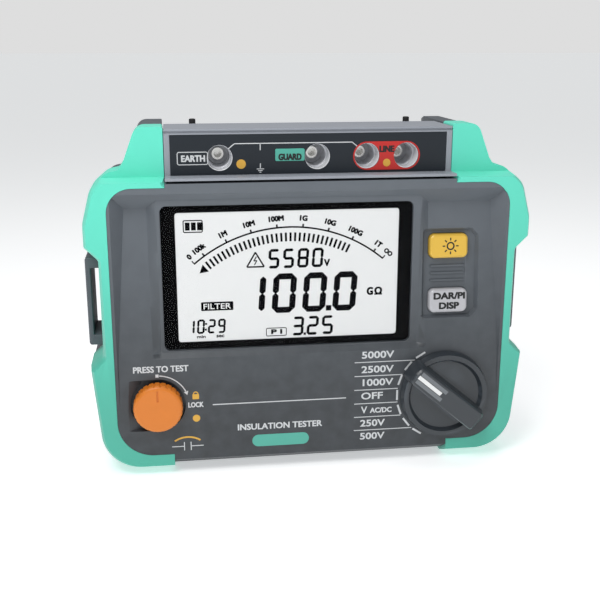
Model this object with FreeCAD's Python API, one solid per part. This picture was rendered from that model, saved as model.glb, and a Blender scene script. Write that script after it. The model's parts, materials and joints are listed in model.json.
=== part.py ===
import FreeCAD, Part
import math
import os

# Portable high-voltage insulation resistance tester, standing on its bottom edge.
# X runs left to right, Y runs from the front panel to the back, Z is up, all in millimetres.
# The origin is the middle of the base. Lengths called depth are measured back from the rim plane,
# which is the flat face of the front case around the panel.

Vec = FreeCAD.Vector
FRONTWARD = Vec(0, -1, 0)
BACKWARD = Vec(0, 1, 0)

# ---- overall sizes
case_width = 226.0          # over the two strap bars
case_height = 177.0         # base to the top of the rear pegs
body_depth = 87.0           # rim plane to the rubber feet
knob_proud = 13.0           # range knob in front of the rim plane

# ---- clearances
seat = 0.15                 # between fixed pieces that meet
slip = 0.3                  # round a piece that moves without being guided
running = 0.05              # radial, round a shaft that turns or slides in its bore

# ---- case
wall = 2.6
bumper_wall = 3.0
peg_rise = 1.0              # pegs above the towers
bar_proud = 1.0             # strap bars outside the widest part of the bumpers
lower_flank_in = 5.0        # the flank pulls in by this much at the base
corner_r = 22.5             # bottom corners of the case
notch_low = 58.0            # strap notch in each flank, from the base
notch_high = 119.5
notch_depth = 6.6
notch_slope = 6.5
shoulder_drop = 23.5        # shoulder below the tower top
tower_inner = 71.7          # half the gap between the towers
tower_width = 13.1
rear_shoulder_drop = 3.0    # shoulders of the rear case, below those of the bumpers
saddle_drop = 6.0           # rear case between the towers, below the tower top
parting = 28.0              # depth where the two case shells meet
gasket_thick = 0.6
back_taper = 5.0
back_taper_depth = 15.0
rear_foot_thick = 2.0
rear_foot_r = 5.0
peg_r = 1.7
peg_x = 56.6
peg_depth = 47.0
bumper_round = 5.2          # lift of the bumper front at the base
bumper_pull = 2.2           # how far it pulls in elsewhere
bumper_round_depth = 11.0

# ---- front panel
rim_side = 13.5             # bumper width beside the panel, measured from the strap bars
rim_top_z_drop = 26.0       # panel top below the tower top
rim_bottom_z = 8.0          # front lip between the bumpers
panel_low_z = 11.2          # panel edge beside the bumpers
shoulder_lower = 2.0        # panel top at the shoulders, below the top between the towers
rim_low_r = 18.0
rim_high_r = 12.0
skirt_depth = 8.0           # behind this the front case fills the bumpers
shelf_rise = 1.5            # rise of the shelf at the foot of each tower
tower_front = 10.7          # depth of the tower fronts and the terminal label
recess_inset = 1.4          # rim strip beside the recess
recess_depth = 7.6          # at the top
recess_top_drop = 4.8       # recess top below the panel top
recess_wall_run = 6.4       # run of the sloping side walls
step_drop = 3.5             # foot of the display recess below the window
step_depth = 0.8            # lower panel behind the rim plane at the step
lower_ramp_z = 36.0         # the panel meets the rim plane here

# ---- display
lcd_left_in = 38.5          # window edge from the side of the case
lcd_width = 125.3
lcd_height = 72.8
lcd_top_drop = 37.3         # window top below the tower top
lcd_plane = 3.4             # depth of the display platform
lcd_margin_left = 1.6
lcd_margin_right = 3.8
band_width = 4.8            # sloping bands beside the platform
window_thick = 1.6
window_sunk = 0.1
window_corner_r = 3.0
mask_thick = 0.2
mask_left = 7.0
mask_right = 6.8
mask_low = 3.6
mask_high = 3.5
ledge_width = 2.0           # ledge that carries the window, inside the mask
panel_thick = 2.2
guide_thick = 3.0
holder_wall = 2.0
holder_depth = 14.0

# ---- keys
key_width = 20.2
key_height = 12.5
key_gap = 15.7              # between the two keys
key_top_drop = 54.7         # top of the upper key below the tower top
key_left_gap = 9.6          # from the display window to the keys
key_proud = 0.9             # in front of the pocket rim
key_corner = 3.0
key_flange = 1.6
key_flange_thick = 1.0
key_travel = 1.0
pocket_depth = 2.2
pocket_right = 4.3
pocket_margin = 1.4
rib_height = 0.8
rib_width = 0.9
rib_pitch = 3.7
membrane_thick = 0.8
dome_r = 4.0
dome_rise = 1.2

# ---- test knob
test_x_in = 34.0            # from the side of the case
test_z = 38.2
test_r = 12.3
test_front = 6.4            # knob face in front of the rim plane
test_skirt = 0.3            # knob skirt behind the rim plane
test_travel = 3.0
test_wall = 2.0
flute_count = 24
flute_r = 0.7
flute_deep = 0.45
test_round = 2.0            # edge of the knob face
test_pocket_depth = 3.7
test_pocket_gap = 1.5
plunger_r = 4.0
plunger_tail = 19.0
clip_r = 6.5
clip_thick = 1.2
spring_r = 7.2
spring_wire = 0.9
spring_turns = 3.5

# ---- range knob
range_x_in = 43.7           # from the side of the case
range_z = 37.2
range_r = 23.2
range_gap = 0.5             # under the knob
range_rim_height = 4.5
range_dish_wall = 3.4
range_floor = 1.8
grip_width = 11.5
grip_tail_width = 11.5
pointer_angle = 140.0       # at rest, anticlockwise from +X seen from the front
pointer_length = 15.8
pointer_in = 0.8            # pointer tip inside the knob edge
pointer_width = 2.2
pointer_sunk = 1.2
shaft_r = 3.0
shaft_length = 31.0
bush_r = 4.6
bush_nut_r = 7.0
bush_nut_thick = 1.0
switch_r = 15.0
switch_length = 11.0
switch_wall = 1.6
switch_pins = 9
switch_pin_r = 0.6
switch_pin_ring = 12.5      # radius of the ring of pins

# ---- terminals
terminal_depth = 44.0
terminal_gap = 1.2          # shadow gap over the panel top
ledge_thick = 1.3
terminal_top_drop = 1.3     # terminal top below the tower top
label_half = 68.5
label_high = 3.7            # label edge below the terminal top
label_thick = 1.0
groove_drop = 0.9
groove_width = 1.1
terminal_wall = 2.4
socket_z_drop = 15.3        # socket centres below the tower top
socket_xs = {"earth": -44.7, "guard": 3.4, "line_left": 28.2, "line_right": 48.1}
socket_r = 6.0
socket_entry = 8.0          # length of the full-bore entry
socket_inner_r = 5.4
socket_wall = 1.3
socket_length = 23.0
socket_flange_r = 8.6
contact_r = 2.0
contact_wall = 1.0
contact_tail = 5.0
contact_front = 4.0         # contact tube in front of the shroud floor
line_plate_r = 7.0
line_plate_thick = 0.35
guard_plate_size = (14.5, 6.0)
guard_plate_x = -10.3

# ---- strap bars
bar_thick = 2.6
bar_front = 21.0
bar_back = 48.0
slot_low = 70.3
slot_high = 105.4
lug_height = 5.3
tongue_long = 3.0
tongue_height = 4.0

# ---- electronics
board_depth = 26.0
board_thick = 1.6
board_margin = 7.0
spacer_r = 3.0
board_screw_r = 1.4
transformer_place = (-52.0, 55.0)
core_size = (28.0, 30.0, 19.0)
winding_size = (20.0, 38.0, 14.0)
multiplier_place = (0.0, 110.0)
multiplier_size = (60.0, 36.0, 17.0)
capacitor_place = (-22.0, 56.0)
capacitor_pitch = 18.0
capacitor_count = 3
capacitor_r = 7.5
capacitor_length = 21.0
buzzer_place = (-79.0, 78.0)
buzzer_r = 8.0
buzzer_length = 8.4

# ---- batteries and cover
cell_r = 13.1
cell_length = 49.2
cell_nub_r = 3.3
cell_nub = 1.6
cell_rows = 4
cell_gap = 0.6
contact_plate = 0.5
contact_space = 2.0
well_z = 30.0
well_wall = 2.2
cover_thick = 2.3
cover_lip = 6.0
cover_gasket = 0.4
cover_screw_r = 2.0
cover_ear_r = 7.0

# ---- case screws
screw_x_in = 19.0
screw_zs = (24.0, 138.0)
screw_r = 1.5
screw_head_r = 3.2
screw_head_thick = 2.4
boss_r = 4.5
sleeve_r = 5.5
sleeve_floor = 40.0

# ---- derived places
half = case_width / 2
side = half - bar_proud
tower_top = case_height - peg_rise
case_back = body_depth - rear_foot_thick
rim_y = knob_proud - (body_depth + knob_proud) / 2
panel_half = half - rim_side
panel_top = tower_top - rim_top_z_drop
recess_top = panel_top - recess_top_drop
rear_front = parting + gasket_thick
lcd_x0 = -half + lcd_left_in
lcd_x1 = lcd_x0 + lcd_width
lcd_z1 = tower_top - lcd_top_drop
lcd_z0 = lcd_z1 - lcd_height
display_step_z = lcd_z0 - step_drop
platform_x0 = lcd_x0 - lcd_margin_left
platform_x1 = lcd_x1 + lcd_margin_right
ramp_low_z = display_step_z
ramp_high_z = recess_top - recess_depth
ramp_slope = (recess_depth - step_depth) / (ramp_high_z - ramp_low_z)
ramp_angle = math.degrees(math.atan(ramp_slope))
key_x0 = lcd_x1 + key_left_gap
key_z1 = tower_top - key_top_drop
key_rows = (key_z1 - key_height, key_z1 - 2 * key_height - key_gap)
test_x = -half + test_x_in
range_x = half - range_x_in
terminal_low = panel_top + terminal_gap
terminal_top = tower_top - terminal_top_drop
socket_z = tower_top - socket_z_drop
label_plane = tower_front
well_half_x = cell_length + cell_nub + contact_space + 1.5
well_height = cell_rows * (2 * cell_r + cell_gap) + cell_gap
well_floor = case_back - cover_thick - cover_gasket - 2 * cell_r - 0.8
cell_depth = well_floor + 0.3 + cell_r
wall_back = recess_depth + wall + 0.8      # depth of the back of the deepest panel wall
lower_wall_back = step_depth + wall


# ---- drawing helpers
def y_at(depth):
    return rim_y + depth


def block(x0, x1, d0, d1, z0, z1):
    return Part.makeBox(x1 - x0, d1 - d0, z1 - z0, Vec(x0, y_at(d0), z0))


def rod(x, z, r, d0, d1):
    return Part.makeCylinder(r, d1 - d0, Vec(x, y_at(d0), z), BACKWARD)


def tube(x, z, r_out, r_in, d0, d1):
    return rod(x, z, r_out, d0, d1).cut(rod(x, z, r_in, d0 - 1, d1 + 1))


def mirror_points(points):
    """Closes a right-hand outline with its mirror image."""
    left = [(-x, z, r) for x, z, r in reversed(points)]
    return points + left


def turn_sign(before, here, after):
    ax, az = here[0] - before[0], here[1] - before[1]
    bx, bz = after[0] - here[0], after[1] - here[1]
    return ax * bz - az * bx


def inset(points, t):
    """Moves every side of an anticlockwise outline inwards by t; corner radii follow."""
    moved = []
    count = len(points)
    for i, (x, z, r) in enumerate(points):
        before = points[i - 1]
        after = points[(i + 1) % count]
        ux, uz = x - before[0], z - before[1]
        vx, vz = after[0] - x, after[1] - z
        ul, vl = math.hypot(ux, uz), math.hypot(vx, vz)
        n1 = (-uz / ul, ux / ul)
        n2 = (-vz / vl, vx / vl)
        grow = 1 + n1[0] * n2[0] + n1[1] * n2[1]
        outer = turn_sign(before, (x, z), after) > 0
        radius = max(r - t, 0.4) if outer else r + t
        moved.append((x + t * (n1[0] + n2[0]) / grow, z + t * (n1[1] + n2[1]) / grow, radius))
    return moved


def rounded_wire(points, depth):
    """A closed wire at one depth, each corner rounded by its own radius."""
    corners = []
    count = len(points)
    for i, (x, z, r) in enumerate(points):
        here = Vec(x, y_at(depth), z)
        before = Vec(points[i - 1][0], y_at(depth), points[i - 1][1]) - here
        after = Vec(points[(i + 1) % count][0], y_at(depth), points[(i + 1) % count][1]) - here
        reach_limit = 0.45 * min(before.Length, after.Length)
        half_turn = (math.pi - before.getAngle(after)) / 2
        reach = min(r * math.tan(half_turn), reach_limit)
        before.normalize()
        after.normalize()
        start = here + before * reach
        end = here + after * reach
        radius = reach / math.tan(half_turn)
        toward = before + after
        toward.normalize()
        centre = here + toward * (radius / math.cos(half_turn))
        middle = centre - toward * radius
        corners.append((start, middle, end))
    edges = []
    for i, (start, middle, end) in enumerate(corners):
        edges.append(Part.Arc(start, middle, end).toShape())
        edges.append(Part.LineSegment(end, corners[(i + 1) % count][0]).toShape())
    return Part.Wire(edges)


def slab(points, d0, d1):
    return Part.Face(rounded_wire(points, d0)).extrude(BACKWARD * (d1 - d0))


def tapered(sections):
    """A solid through rounded outlines at several depths, given as (points, depth)."""
    return Part.makeLoft([rounded_wire(points, depth) for points, depth in sections], True, True)


def box_points(x0, x1, z0, z1, r):
    return [(x0, z0, r), (x1, z0, r), (x1, z1, r), (x0, z1, r)]


def section_face(x, points):
    """A face across X from (depth, z) points."""
    corners = [Vec(x, y_at(d), z) for d, z in points]
    return Part.Face(Part.makePolygon(corners + corners[:1]))


def run_along_x(points, x0, x1):
    return section_face(x0, points).extrude(Vec(x1 - x0, 0, 0))


def join_along_x(points0, x0, points1, x1):
    wires = [section_face(x0, points0).OuterWire, section_face(x1, points1).OuterWire]
    return Part.makeLoft(wires, True, True)


def union(shapes):
    whole = shapes[0].multiFuse(shapes[1:])
    return whole.removeSplitter()


def mirrored(shape):
    return shape.mirror(Vec(0, 0, 0), Vec(1, 0, 0))


def ramp_depth(z):
    return step_depth + ramp_slope * (z - ramp_low_z)


def on_ramp(shape, pivot_z):
    """Tilts a shape drawn square to the rim plane so that it lies square to the sloping panel."""
    turned = shape.copy()
    turned.rotate(Vec(0, y_at(ramp_depth(pivot_z)), pivot_z), Vec(1, 0, 0), -ramp_angle)
    return turned


# ---- outlines of the case, seen from the front
def flank_points(drop):
    """Right-hand flank from the base to the top of the tower, its shoulder lowered by drop."""
    notch_x = side - notch_depth
    shoulder = tower_top - shoulder_drop
    tower_outer = tower_inner + tower_width
    return [
        (side - lower_flank_in, 0.0, corner_r),
        (side - 1.2, notch_low - 14.0, 20.0),
        (side, notch_low, 2.5),
        (notch_x, notch_low + notch_slope, 2.5),
        (notch_x, notch_high - notch_slope, 2.5),
        (side, notch_high, 2.5),
        (side, notch_high + 10.5, 14.0),
        (side - 4.6, shoulder - 5.0 - drop, 12.0),
        (side - 13.0, shoulder + 2.1 - drop, 8.0),
        (side - 18.5, shoulder + 3.1 - drop, 3.0),
        (tower_outer + 6.4, shoulder + 6.5 - drop, 2.0),
        (tower_outer, tower_top, 6.0),
    ]


def case_points(between_towers, drop=0.0):
    """The whole outline, with the given height between the towers."""
    towers = [(tower_inner, tower_top, 1.2), (tower_inner, between_towers, 1.2)]
    return mirror_points(flank_points(drop) + towers)


def bumper_points():
    return case_points(panel_top + seat)


def panel_points():
    high = panel_top - shoulder_lower
    return mirror_points([(panel_half, panel_low_z, rim_low_r), (panel_half, high, rim_high_r)])


def tower_cut(shift):
    """Space in front of the towers, above the shelf at their feet."""
    start = panel_top + 0.6 - shift
    profile = [
        (-5.0, start), (0.4 + shift, start), (tower_front + shift, start + shelf_rise),
        (tower_front + shift, tower_top + 5.0), (-5.0, tower_top + 5.0),
    ]
    return run_along_x(profile, -case_width, case_width)


# ---- case shells
def front_envelope(grow):
    """Outside of the front case; with grow it is the space the bumpers leave for it."""
    rim_block = slab(inset(panel_points(), -grow), -grow, skirt_depth + 1)
    filled = inset(bumper_points(), bumper_wall + seat - grow)
    skirt = slab(filled, skirt_depth - grow, parting + grow).cut(tower_cut(bumper_wall + seat - grow))
    return rim_block.fuse(skirt)


def brow():
    """Top edge of the panel, which stands higher between the towers."""
    x = tower_inner - seat
    return block(-x, x, 0.0, skirt_depth + 1, panel_top - shoulder_lower - 2.0, panel_top)


def chin():
    """Sloping lower lip between the two bumpers."""
    low = bumper_wall + seat
    high = panel_low_z + 2.0
    profile = [(0.0, rim_bottom_z), (skirt_depth, low), (parting, low), (parting, high), (0.0, high)]
    return run_along_x(profile, -tower_inner + seat, tower_inner - seat)


def recess_cutter():
    """The sloping recess, leaving the display platform standing in it."""
    floor_top = recess_top - recess_depth
    open_front = -1.0
    deep = [
        (open_front, recess_top - open_front), (recess_depth, floor_top),
        (ramp_depth(display_step_z + lcd_plane - step_depth), display_step_z + lcd_plane - step_depth),
        (step_depth, display_step_z), (0.0, lower_ramp_z), (open_front, lower_ramp_z),
    ]
    shallow = [
        (open_front, recess_top - open_front), (lcd_plane, recess_top - lcd_plane),
        (lcd_plane, display_step_z + lcd_plane - step_depth),
        (step_depth, display_step_z), (0.0, lower_ramp_z), (open_front, lower_ramp_z),
    ]
    sides = recess_sides()
    zones = [
        run_along_x(deep, -panel_half, platform_x0 - band_width).common(sides),
        join_along_x(deep, platform_x0 - band_width, shallow, platform_x0),
        run_along_x(shallow, platform_x0, platform_x1),
        join_along_x(shallow, platform_x1, deep, platform_x1 + band_width),
        run_along_x(deep, platform_x1 + band_width, panel_half).common(sides),
    ]
    return zones


def recess_sides():
    """Space between the sloping side walls of the recess, which close in with depth."""
    edge = panel_half - recess_inset
    run = recess_wall_run / recess_depth
    reach = recess_depth + 1.0
    wide, narrow = edge + run, edge - run * reach
    plan = [(-wide, -1.0), (wide, -1.0), (narrow, reach), (-narrow, reach)]
    corners = [Vec(x, y_at(depth), 0) for x, depth in plan]
    return Part.Face(Part.makePolygon(corners + corners[:1])).extrude(Vec(0, 0, case_height))


def front_cavity():
    """Hollow of the front case, in steps behind the panel."""
    filled = inset(bumper_points(), bumper_wall + seat + wall)
    deep = slab(filled, wall_back, parting + 1).cut(tower_cut(bumper_wall + wall + 3.0))
    lower = slab(inset(panel_points(), wall), lower_wall_back, wall_back + 1)
    above = block(-half, half, 0, parting, display_step_z - wall, case_height)
    return deep.fuse(lower.cut(above))


def display_opening():
    """Stepped opening: a seat for the window and mask, then the way for the glass."""
    window = box_points(lcd_x0 - seat, lcd_x1 + seat, lcd_z0 - seat, lcd_z1 + seat, window_corner_r + seat)
    ledge = inset(glass_points(), -seat)
    seat_back = lcd_plane + window_sunk + window_thick + mask_thick
    return slab(window, 0.0, seat_back).fuse(slab(ledge, 0.5, parting))


def display_points():
    """The lit area that the mask leaves clear."""
    return box_points(lcd_x0 + mask_left, lcd_x1 - mask_right, lcd_z0 + mask_low, lcd_z1 - mask_high, 1.5)


def glass_points():
    return [(x, z, 0.6) for x, z, r in inset(display_points(), -ledge_width)]


def key_points(row, grow):
    z0 = key_rows[row]
    return box_points(key_x0 - grow, key_x0 + key_width + grow, z0 - grow, z0 + key_height + grow,
                      key_corner + grow)


def key_pivot():
    return (key_rows[0] + key_rows[1] + key_height) / 2


def key_pocket():
    """Shallow pocket round both keys, open to the display band on its left."""
    z0 = key_rows[1] - pocket_margin
    z1 = key_rows[0] + key_height + pocket_margin
    x0 = platform_x1 + band_width - 1.5
    x1 = key_x0 + key_width + pocket_right
    cut = 3.0
    points = [
        (x0, z0, 0.5), (x1 - cut, z0, 1.0), (x1, z0 + cut, 1.0),
        (x1, z1 - cut, 1.0), (x1 - cut, z1, 1.0), (x0, z1, 0.5),
    ]
    base = ramp_depth(key_pivot())
    wide = inset(points, -1.6)
    flared = tapered([(wide, base - 4.0), (inset(points, -1.4), base), (points, base + pocket_depth)])
    return on_ramp(flared, key_pivot())


def key_ribs():
    """Three grip ribs between the keys."""
    middle = key_pivot()
    base = ramp_depth(middle) + pocket_depth
    ribs = []
    for step in (-1, 0, 1):
        z = middle + step * rib_pitch
        ribs.append(block(key_x0 + 1.0, key_x0 + key_width - 1.5, base - rib_height, base + 0.5,
                          z - rib_width / 2, z + rib_width / 2))
    return [on_ramp(rib, middle) for rib in ribs]


def key_bay():
    """Clears the back of the panel behind the keys, parallel to their faces."""
    panel_back = key_levels()[1]
    grow = key_flange + 1.9
    points = box_points(key_x0 - grow, key_x0 + key_width + grow,
                        key_rows[1] - grow, key_rows[0] + key_height + grow, 2.0)
    return on_ramp(slab(points, panel_back, panel_back + 12.0), key_pivot())


def key_holes():
    base = ramp_depth(key_pivot())
    holes = [slab(key_points(row, slip), base - 1, base + 20) for row in (0, 1)]
    return [on_ramp(hole, key_pivot()) for hole in holes]


def test_pocket():
    """D-shaped pocket round the test knob, fading to the left."""
    r = test_r + test_pocket_gap
    low = test_z - r
    high = test_z + r
    left = test_x - r - 1.0
    arc_side = rod(test_x, test_z, r, -1.0, test_pocket_depth)
    lean = 0.6
    full = [(-1.0, low), (test_pocket_depth, low + lean), (test_pocket_depth, high - lean), (-1.0, high)]
    sliver = [(-1.0, low), (0.05, low + lean), (0.05, high - lean), (-1.0, high)]
    flat_side = run_along_x(full, test_x - 8.0, test_x)
    fade = join_along_x(sliver, left, full, test_x - 8.0)
    return arc_side.fuse(flat_side).fuse(fade)


def case_screw_places():
    return [(sign * (half - screw_x_in), z) for sign in (-1, 1) for z in screw_zs]


def spacer_places():
    x = board_half_x() - 5.0
    z0, z1 = board_span()
    return [(sign * x, z) for sign in (-1, 1) for z in (z0 + 50.0, z1 - 26.0)]


def make_front_case():
    test_pad = rod(test_x, test_z, plunger_r + 4.5, lower_wall_back - 1.0, test_pocket_depth + 6.0)
    pad_floor = rod(test_x, test_z, test_r + test_pocket_gap + 2.0, 1.0, test_pocket_depth + 2.0)
    wedge = block(test_x - test_r - 5.0, test_x, 1.0, test_pocket_depth + 2.0,
                  test_z - test_r - 3.5, test_z + test_r + 3.5)
    bush_pad = rod(range_x, range_z, bush_r + 5.0, lower_wall_back - 1.0, lower_wall_back + 2.0)
    shell = union([front_envelope(0.0), chin(), brow()])
    for cutter in recess_cutter() + [front_cavity()]:
        shell = shell.cut(cutter)
    shell = union([shell, test_pad, pad_floor, wedge, bush_pad])
    for x, z in case_screw_places():
        wall_at = lower_wall_back if z < display_step_z else wall_back
        shell = shell.fuse(rod(x, z, boss_r, wall_at - 0.5, parting))
    cutters = [display_opening(), key_pocket(), key_bay(), test_pocket()]
    cutters.append(rod(test_x, test_z, plunger_r + running, -5.0, parting))
    cutters.append(rod(range_x, range_z, bush_r + seat, -5.0, parting))
    for cutter in cutters:
        shell = shell.cut(cutter)
    for rib in key_ribs():
        shell = shell.fuse(rib)
    for hole in key_holes():
        shell = shell.cut(hole)
    for x, z in case_screw_places():
        shell = shell.cut(rod(x, z, screw_r + running, parting - 12.0, parting + 1))
    for x, z in spacer_places():
        shell = shell.cut(rod(x, z, board_screw_r, wall_back - 1.5, wall_back + 1))
    return shell.removeSplitter()


def bumper_section(pull, lift):
    """Bumper outline pulled in all round, and lifted with rounder corners at the base."""
    moved = inset(bumper_points(), pull)
    return [(x, lift, corner_r + lift * 0.7) if z < 12.0 else (x, z, r) for x, z, r in moved]


def make_bumper():
    """Right-hand elastomer bumper; the left one is its mirror image."""
    full = bumper_points()
    front = bumper_section(bumper_pull, bumper_round)
    middle = bumper_section(bumper_pull * 0.36, bumper_round * 0.72)
    nose = tapered([(front, 0.0), (middle, bumper_round_depth * 0.24), (full, bumper_round_depth)])
    body = nose.fuse(slab(full, bumper_round_depth, parting))
    body = body.cut(tower_cut(0.0)).cut(front_envelope(seat))
    between = block(-tower_inner, tower_inner, -5.0, parting + 5, -5.0, case_height + 5)
    left = block(-case_width, 0, -5.0, parting + 5, -5.0, case_height + 5)
    return body.cut(between).cut(left)


def rear_points():
    """Rear shell outline: a little inside the bumpers, but level with them at the base."""
    moved = inset(case_points(tower_top - saddle_drop, rear_shoulder_drop), 0.6)
    return [(x, 0.0 if z < 1.0 else z, r) for x, z, r in moved]


def saddle_cut():
    """Room for the terminal housing in the top of the rear shell."""
    return block(-tower_inner + seat, tower_inner - seat, parting - 5, terminal_depth + seat,
                 panel_top + terminal_gap - seat, case_height + 5)


def well_span():
    return (-well_half_x, well_half_x, well_z, well_z + well_height)


def cover_points(grow):
    x0, x1, z0, z1 = well_span()
    reach = cover_lip + grow
    return box_points(x0 - reach, x1 + reach, z0 - reach, z1 + reach, 5.0 + grow)


def cover_screw_places():
    x0, x1, z0, z1 = well_span()
    return [(0.0, z0 - cover_lip - 4.5), (0.0, z1 + cover_lip + 4.5)]


def cover_plan(grow, d0, d1):
    """Cover outline with a round ear for the screw at its top and bottom."""
    plan = slab(cover_points(grow), d0, d1)
    for x, z in cover_screw_places():
        plan = plan.fuse(rod(x, z, cover_ear_r + grow, d0, d1))
    return plan.removeSplitter()


def deep_cavity(full, start):
    """Hollow behind the start of the taper: a plain rectangle, kept inside the tapered wall."""
    x = side - notch_depth - 0.6 - wall - back_taper
    top = tower_top - saddle_drop - 0.6 - wall - back_taper
    plain = slab(box_points(-x, x, wall + back_taper, top, corner_r - back_taper), start, case_back - wall)
    return plain.common(slab(inset(full, wall + back_taper), start, case_back - wall))


def make_rear_case():
    full = rear_points()
    hollow = inset(full, wall)
    taper_start = case_back - back_taper_depth
    outer = slab(full, rear_front, taper_start)
    rounding = [
        (full, taper_start), (inset(full, back_taper * 0.35), case_back - back_taper),
        (inset(full, back_taper), case_back),
    ]
    outer = outer.fuse(tapered(rounding))
    shell = outer.cut(slab(hollow, rear_front - 1, taper_start))
    shell = shell.cut(deep_cavity(full, taper_start - 1))
    x0, x1, z0, z1 = well_span()
    seat_depth = case_back - cover_thick - cover_gasket
    well_points = box_points(x0 - well_wall, x1 + well_wall, z0 - well_wall, z1 + well_wall, 2.0)
    well_outer = slab(well_points, well_floor - well_wall, case_back - 0.5)
    flange = cover_plan(2.5, seat_depth - 2.4, case_back)
    inside = outer.common(union([well_outer, flange]))
    shell = shell.fuse(inside)
    for x, z in cover_screw_places():
        shell = shell.fuse(rod(x, z, 5.0, seat_depth - 10.0, seat_depth - 1.0))
    for x, z in case_screw_places():
        shell = shell.fuse(rod(x, z, sleeve_r, rear_front, case_back - 1.0))
    cutters = [saddle_cut(), cover_plan(slip, seat_depth, case_back + 5)]
    cutters.append(slab(box_points(x0, x1, z0, z1, 1.5), well_floor, case_back + 5))
    for x, z in cover_screw_places():
        cutters.append(rod(x, z, cover_screw_r + running, seat_depth - 9.0, case_back + 1))
    for x, z in case_screw_places():
        cutters.append(rod(x, z, screw_r + 0.3, rear_front - 1, sleeve_floor + 1))
        cutters.append(rod(x, z, screw_head_r + 0.4, sleeve_floor, case_back + 1))
    for sign in (-1, 1):
        for low in lug_spans():
            cutters.append(tongue(sign, low, seat))
    for cutter in cutters:
        shell = shell.cut(cutter)
    return shell.removeSplitter()


def make_gasket():
    """Flat seal on the parting line, narrower than the wall."""
    outline = inset(bumper_points(), bumper_wall + seat + 0.3)
    inner = slab(inset(outline, wall - 0.6), parting - 1, rear_front + 1)
    return slab(outline, parting, rear_front).cut(inner)


# ---- strap bars
def lug_spans():
    return (slot_low - lug_height, slot_high)


def tongue(sign, low, grow):
    middle = low + lug_height / 2
    face = side - notch_depth - 0.6
    x0, x1 = sorted((sign * (face - tongue_long - grow), sign * (face + 0.5)))
    return block(x0, x1, bar_back - 12.0 - grow, bar_back - 3.0 + grow,
                 middle - tongue_height / 2 - grow, middle + tongue_height / 2 + grow)


def make_strap_bar(sign):
    face = side - notch_depth - 0.6 + seat
    over_bumper = side - notch_depth + slip
    x_in = half - bar_thick
    x0, x1 = sorted((sign * x_in, sign * half))
    bar_face = block(x0, x1, bar_front, bar_back, slot_low - lug_height, slot_high + lug_height)
    bar = bar_face.makeChamfer(0.8, [e for e in bar_face.Edges if abs(abs(e.CenterOfMass.x) - half) < 0.01])
    pieces = [bar]
    for low in lug_spans():
        x0, x1 = sorted((sign * face, sign * (x_in + 0.5)))
        pieces.append(block(x0, x1, rear_front + seat, bar_back, low, low + lug_height))
        x0, x1 = sorted((sign * over_bumper, sign * (x_in + 0.5)))
        pieces.append(block(x0, x1, bar_front, rear_front + 1.0, low, low + lug_height))
        pieces.append(tongue(sign, low, 0.0))
    return union(pieces)


# ---- terminals
def make_terminal_housing():
    x = tower_inner - seat * 2
    outer = block(-x, x, label_plane - 0.001, terminal_depth, terminal_low, terminal_top)
    outer = outer.fuse(block(-x, x, 0.0, label_plane + 1, terminal_low, terminal_low + ledge_thick))
    hollow = block(-x + terminal_wall, x - terminal_wall, label_plane + label_thick + terminal_wall,
                   terminal_depth - terminal_wall, terminal_low - 1, terminal_top - terminal_wall)
    label = block(-label_half - seat, label_half + seat, 0, label_plane + label_thick,
                  label_z()[0] - seat, label_z()[1] + seat)
    groove = block(-x - 1, x + 1, 0, label_plane + 0.7, terminal_top - groove_drop - groove_width,
                   terminal_top - groove_drop)
    shell = outer.cut(hollow).cut(label).cut(groove)
    for place in socket_xs.values():
        shell = shell.cut(rod(place, socket_z, socket_r + socket_wall + seat, 5, terminal_depth - 15))
    return shell.removeSplitter()


def label_z():
    return (terminal_low + ledge_thick + 0.1, terminal_top - label_high + 0.9)


def socket_mouths(extra, d0, d1, names):
    return [rod(socket_xs[name], socket_z, socket_r + extra, d0, d1) for name in names]


def make_terminal_label():
    low, high = label_z()
    points = box_points(-label_half, label_half, low, high, 0.6)
    plate = slab(points, label_plane, label_plane + label_thick - 0.05)
    return plate.cut(union(socket_mouths(0.3, 0, 20, socket_xs)))


def make_line_label():
    """Red plate, two joined rounds, round the pair of line sockets."""
    names = ("line_left", "line_right")
    d0 = label_plane - line_plate_thick
    rounds = socket_mouths(line_plate_r - socket_r, d0, label_plane, names)
    x0, x1 = socket_xs["line_left"], socket_xs["line_right"]
    bridge = block(x0, x1, d0, label_plane, socket_z - line_plate_r, socket_z + line_plate_r)
    plate = union(rounds + [bridge])
    return plate.cut(union(socket_mouths(0.3, 0, 20, names)))


def make_guard_label():
    width, height = guard_plate_size
    points = box_points(guard_plate_x - width / 2, guard_plate_x + width / 2,
                        socket_z + 1.1 - height / 2, socket_z + 1.1 + height / 2, 0.8)
    return slab(points, label_plane - line_plate_thick, label_plane)


def make_socket(name):
    """Insulating shroud: a full-bore entry, a narrower throat, and a floor that the contact passes."""
    x = socket_xs[name]
    d0 = label_plane + label_thick
    outer = rod(x, socket_z, socket_r + socket_wall, d0, d0 + socket_length)
    flange_at = label_plane + label_thick + terminal_wall
    flange = rod(x, socket_z, socket_flange_r, flange_at, flange_at + 1.6)
    body = outer.fuse(flange)
    body = body.cut(rod(x, socket_z, socket_r, d0 - 1, d0 + socket_entry))
    body = body.cut(rod(x, socket_z, socket_inner_r, d0, d0 + socket_length - 1.8))
    return body.cut(rod(x, socket_z, contact_r + contact_wall, d0, d0 + socket_length + 1)).removeSplitter()


def make_contacts():
    """Four contact tubes, open to the front and soldered at the back."""
    d0 = label_plane + label_thick
    front = d0 + socket_length - contact_front
    back = d0 + socket_length + contact_tail
    tubes = []
    for x in socket_xs.values():
        body = rod(x, socket_z, contact_r + contact_wall, front, back)
        tubes.append(body.cut(rod(x, socket_z, contact_r, front - 1, back - 2.0)))
    return Part.makeCompound(tubes)


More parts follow.
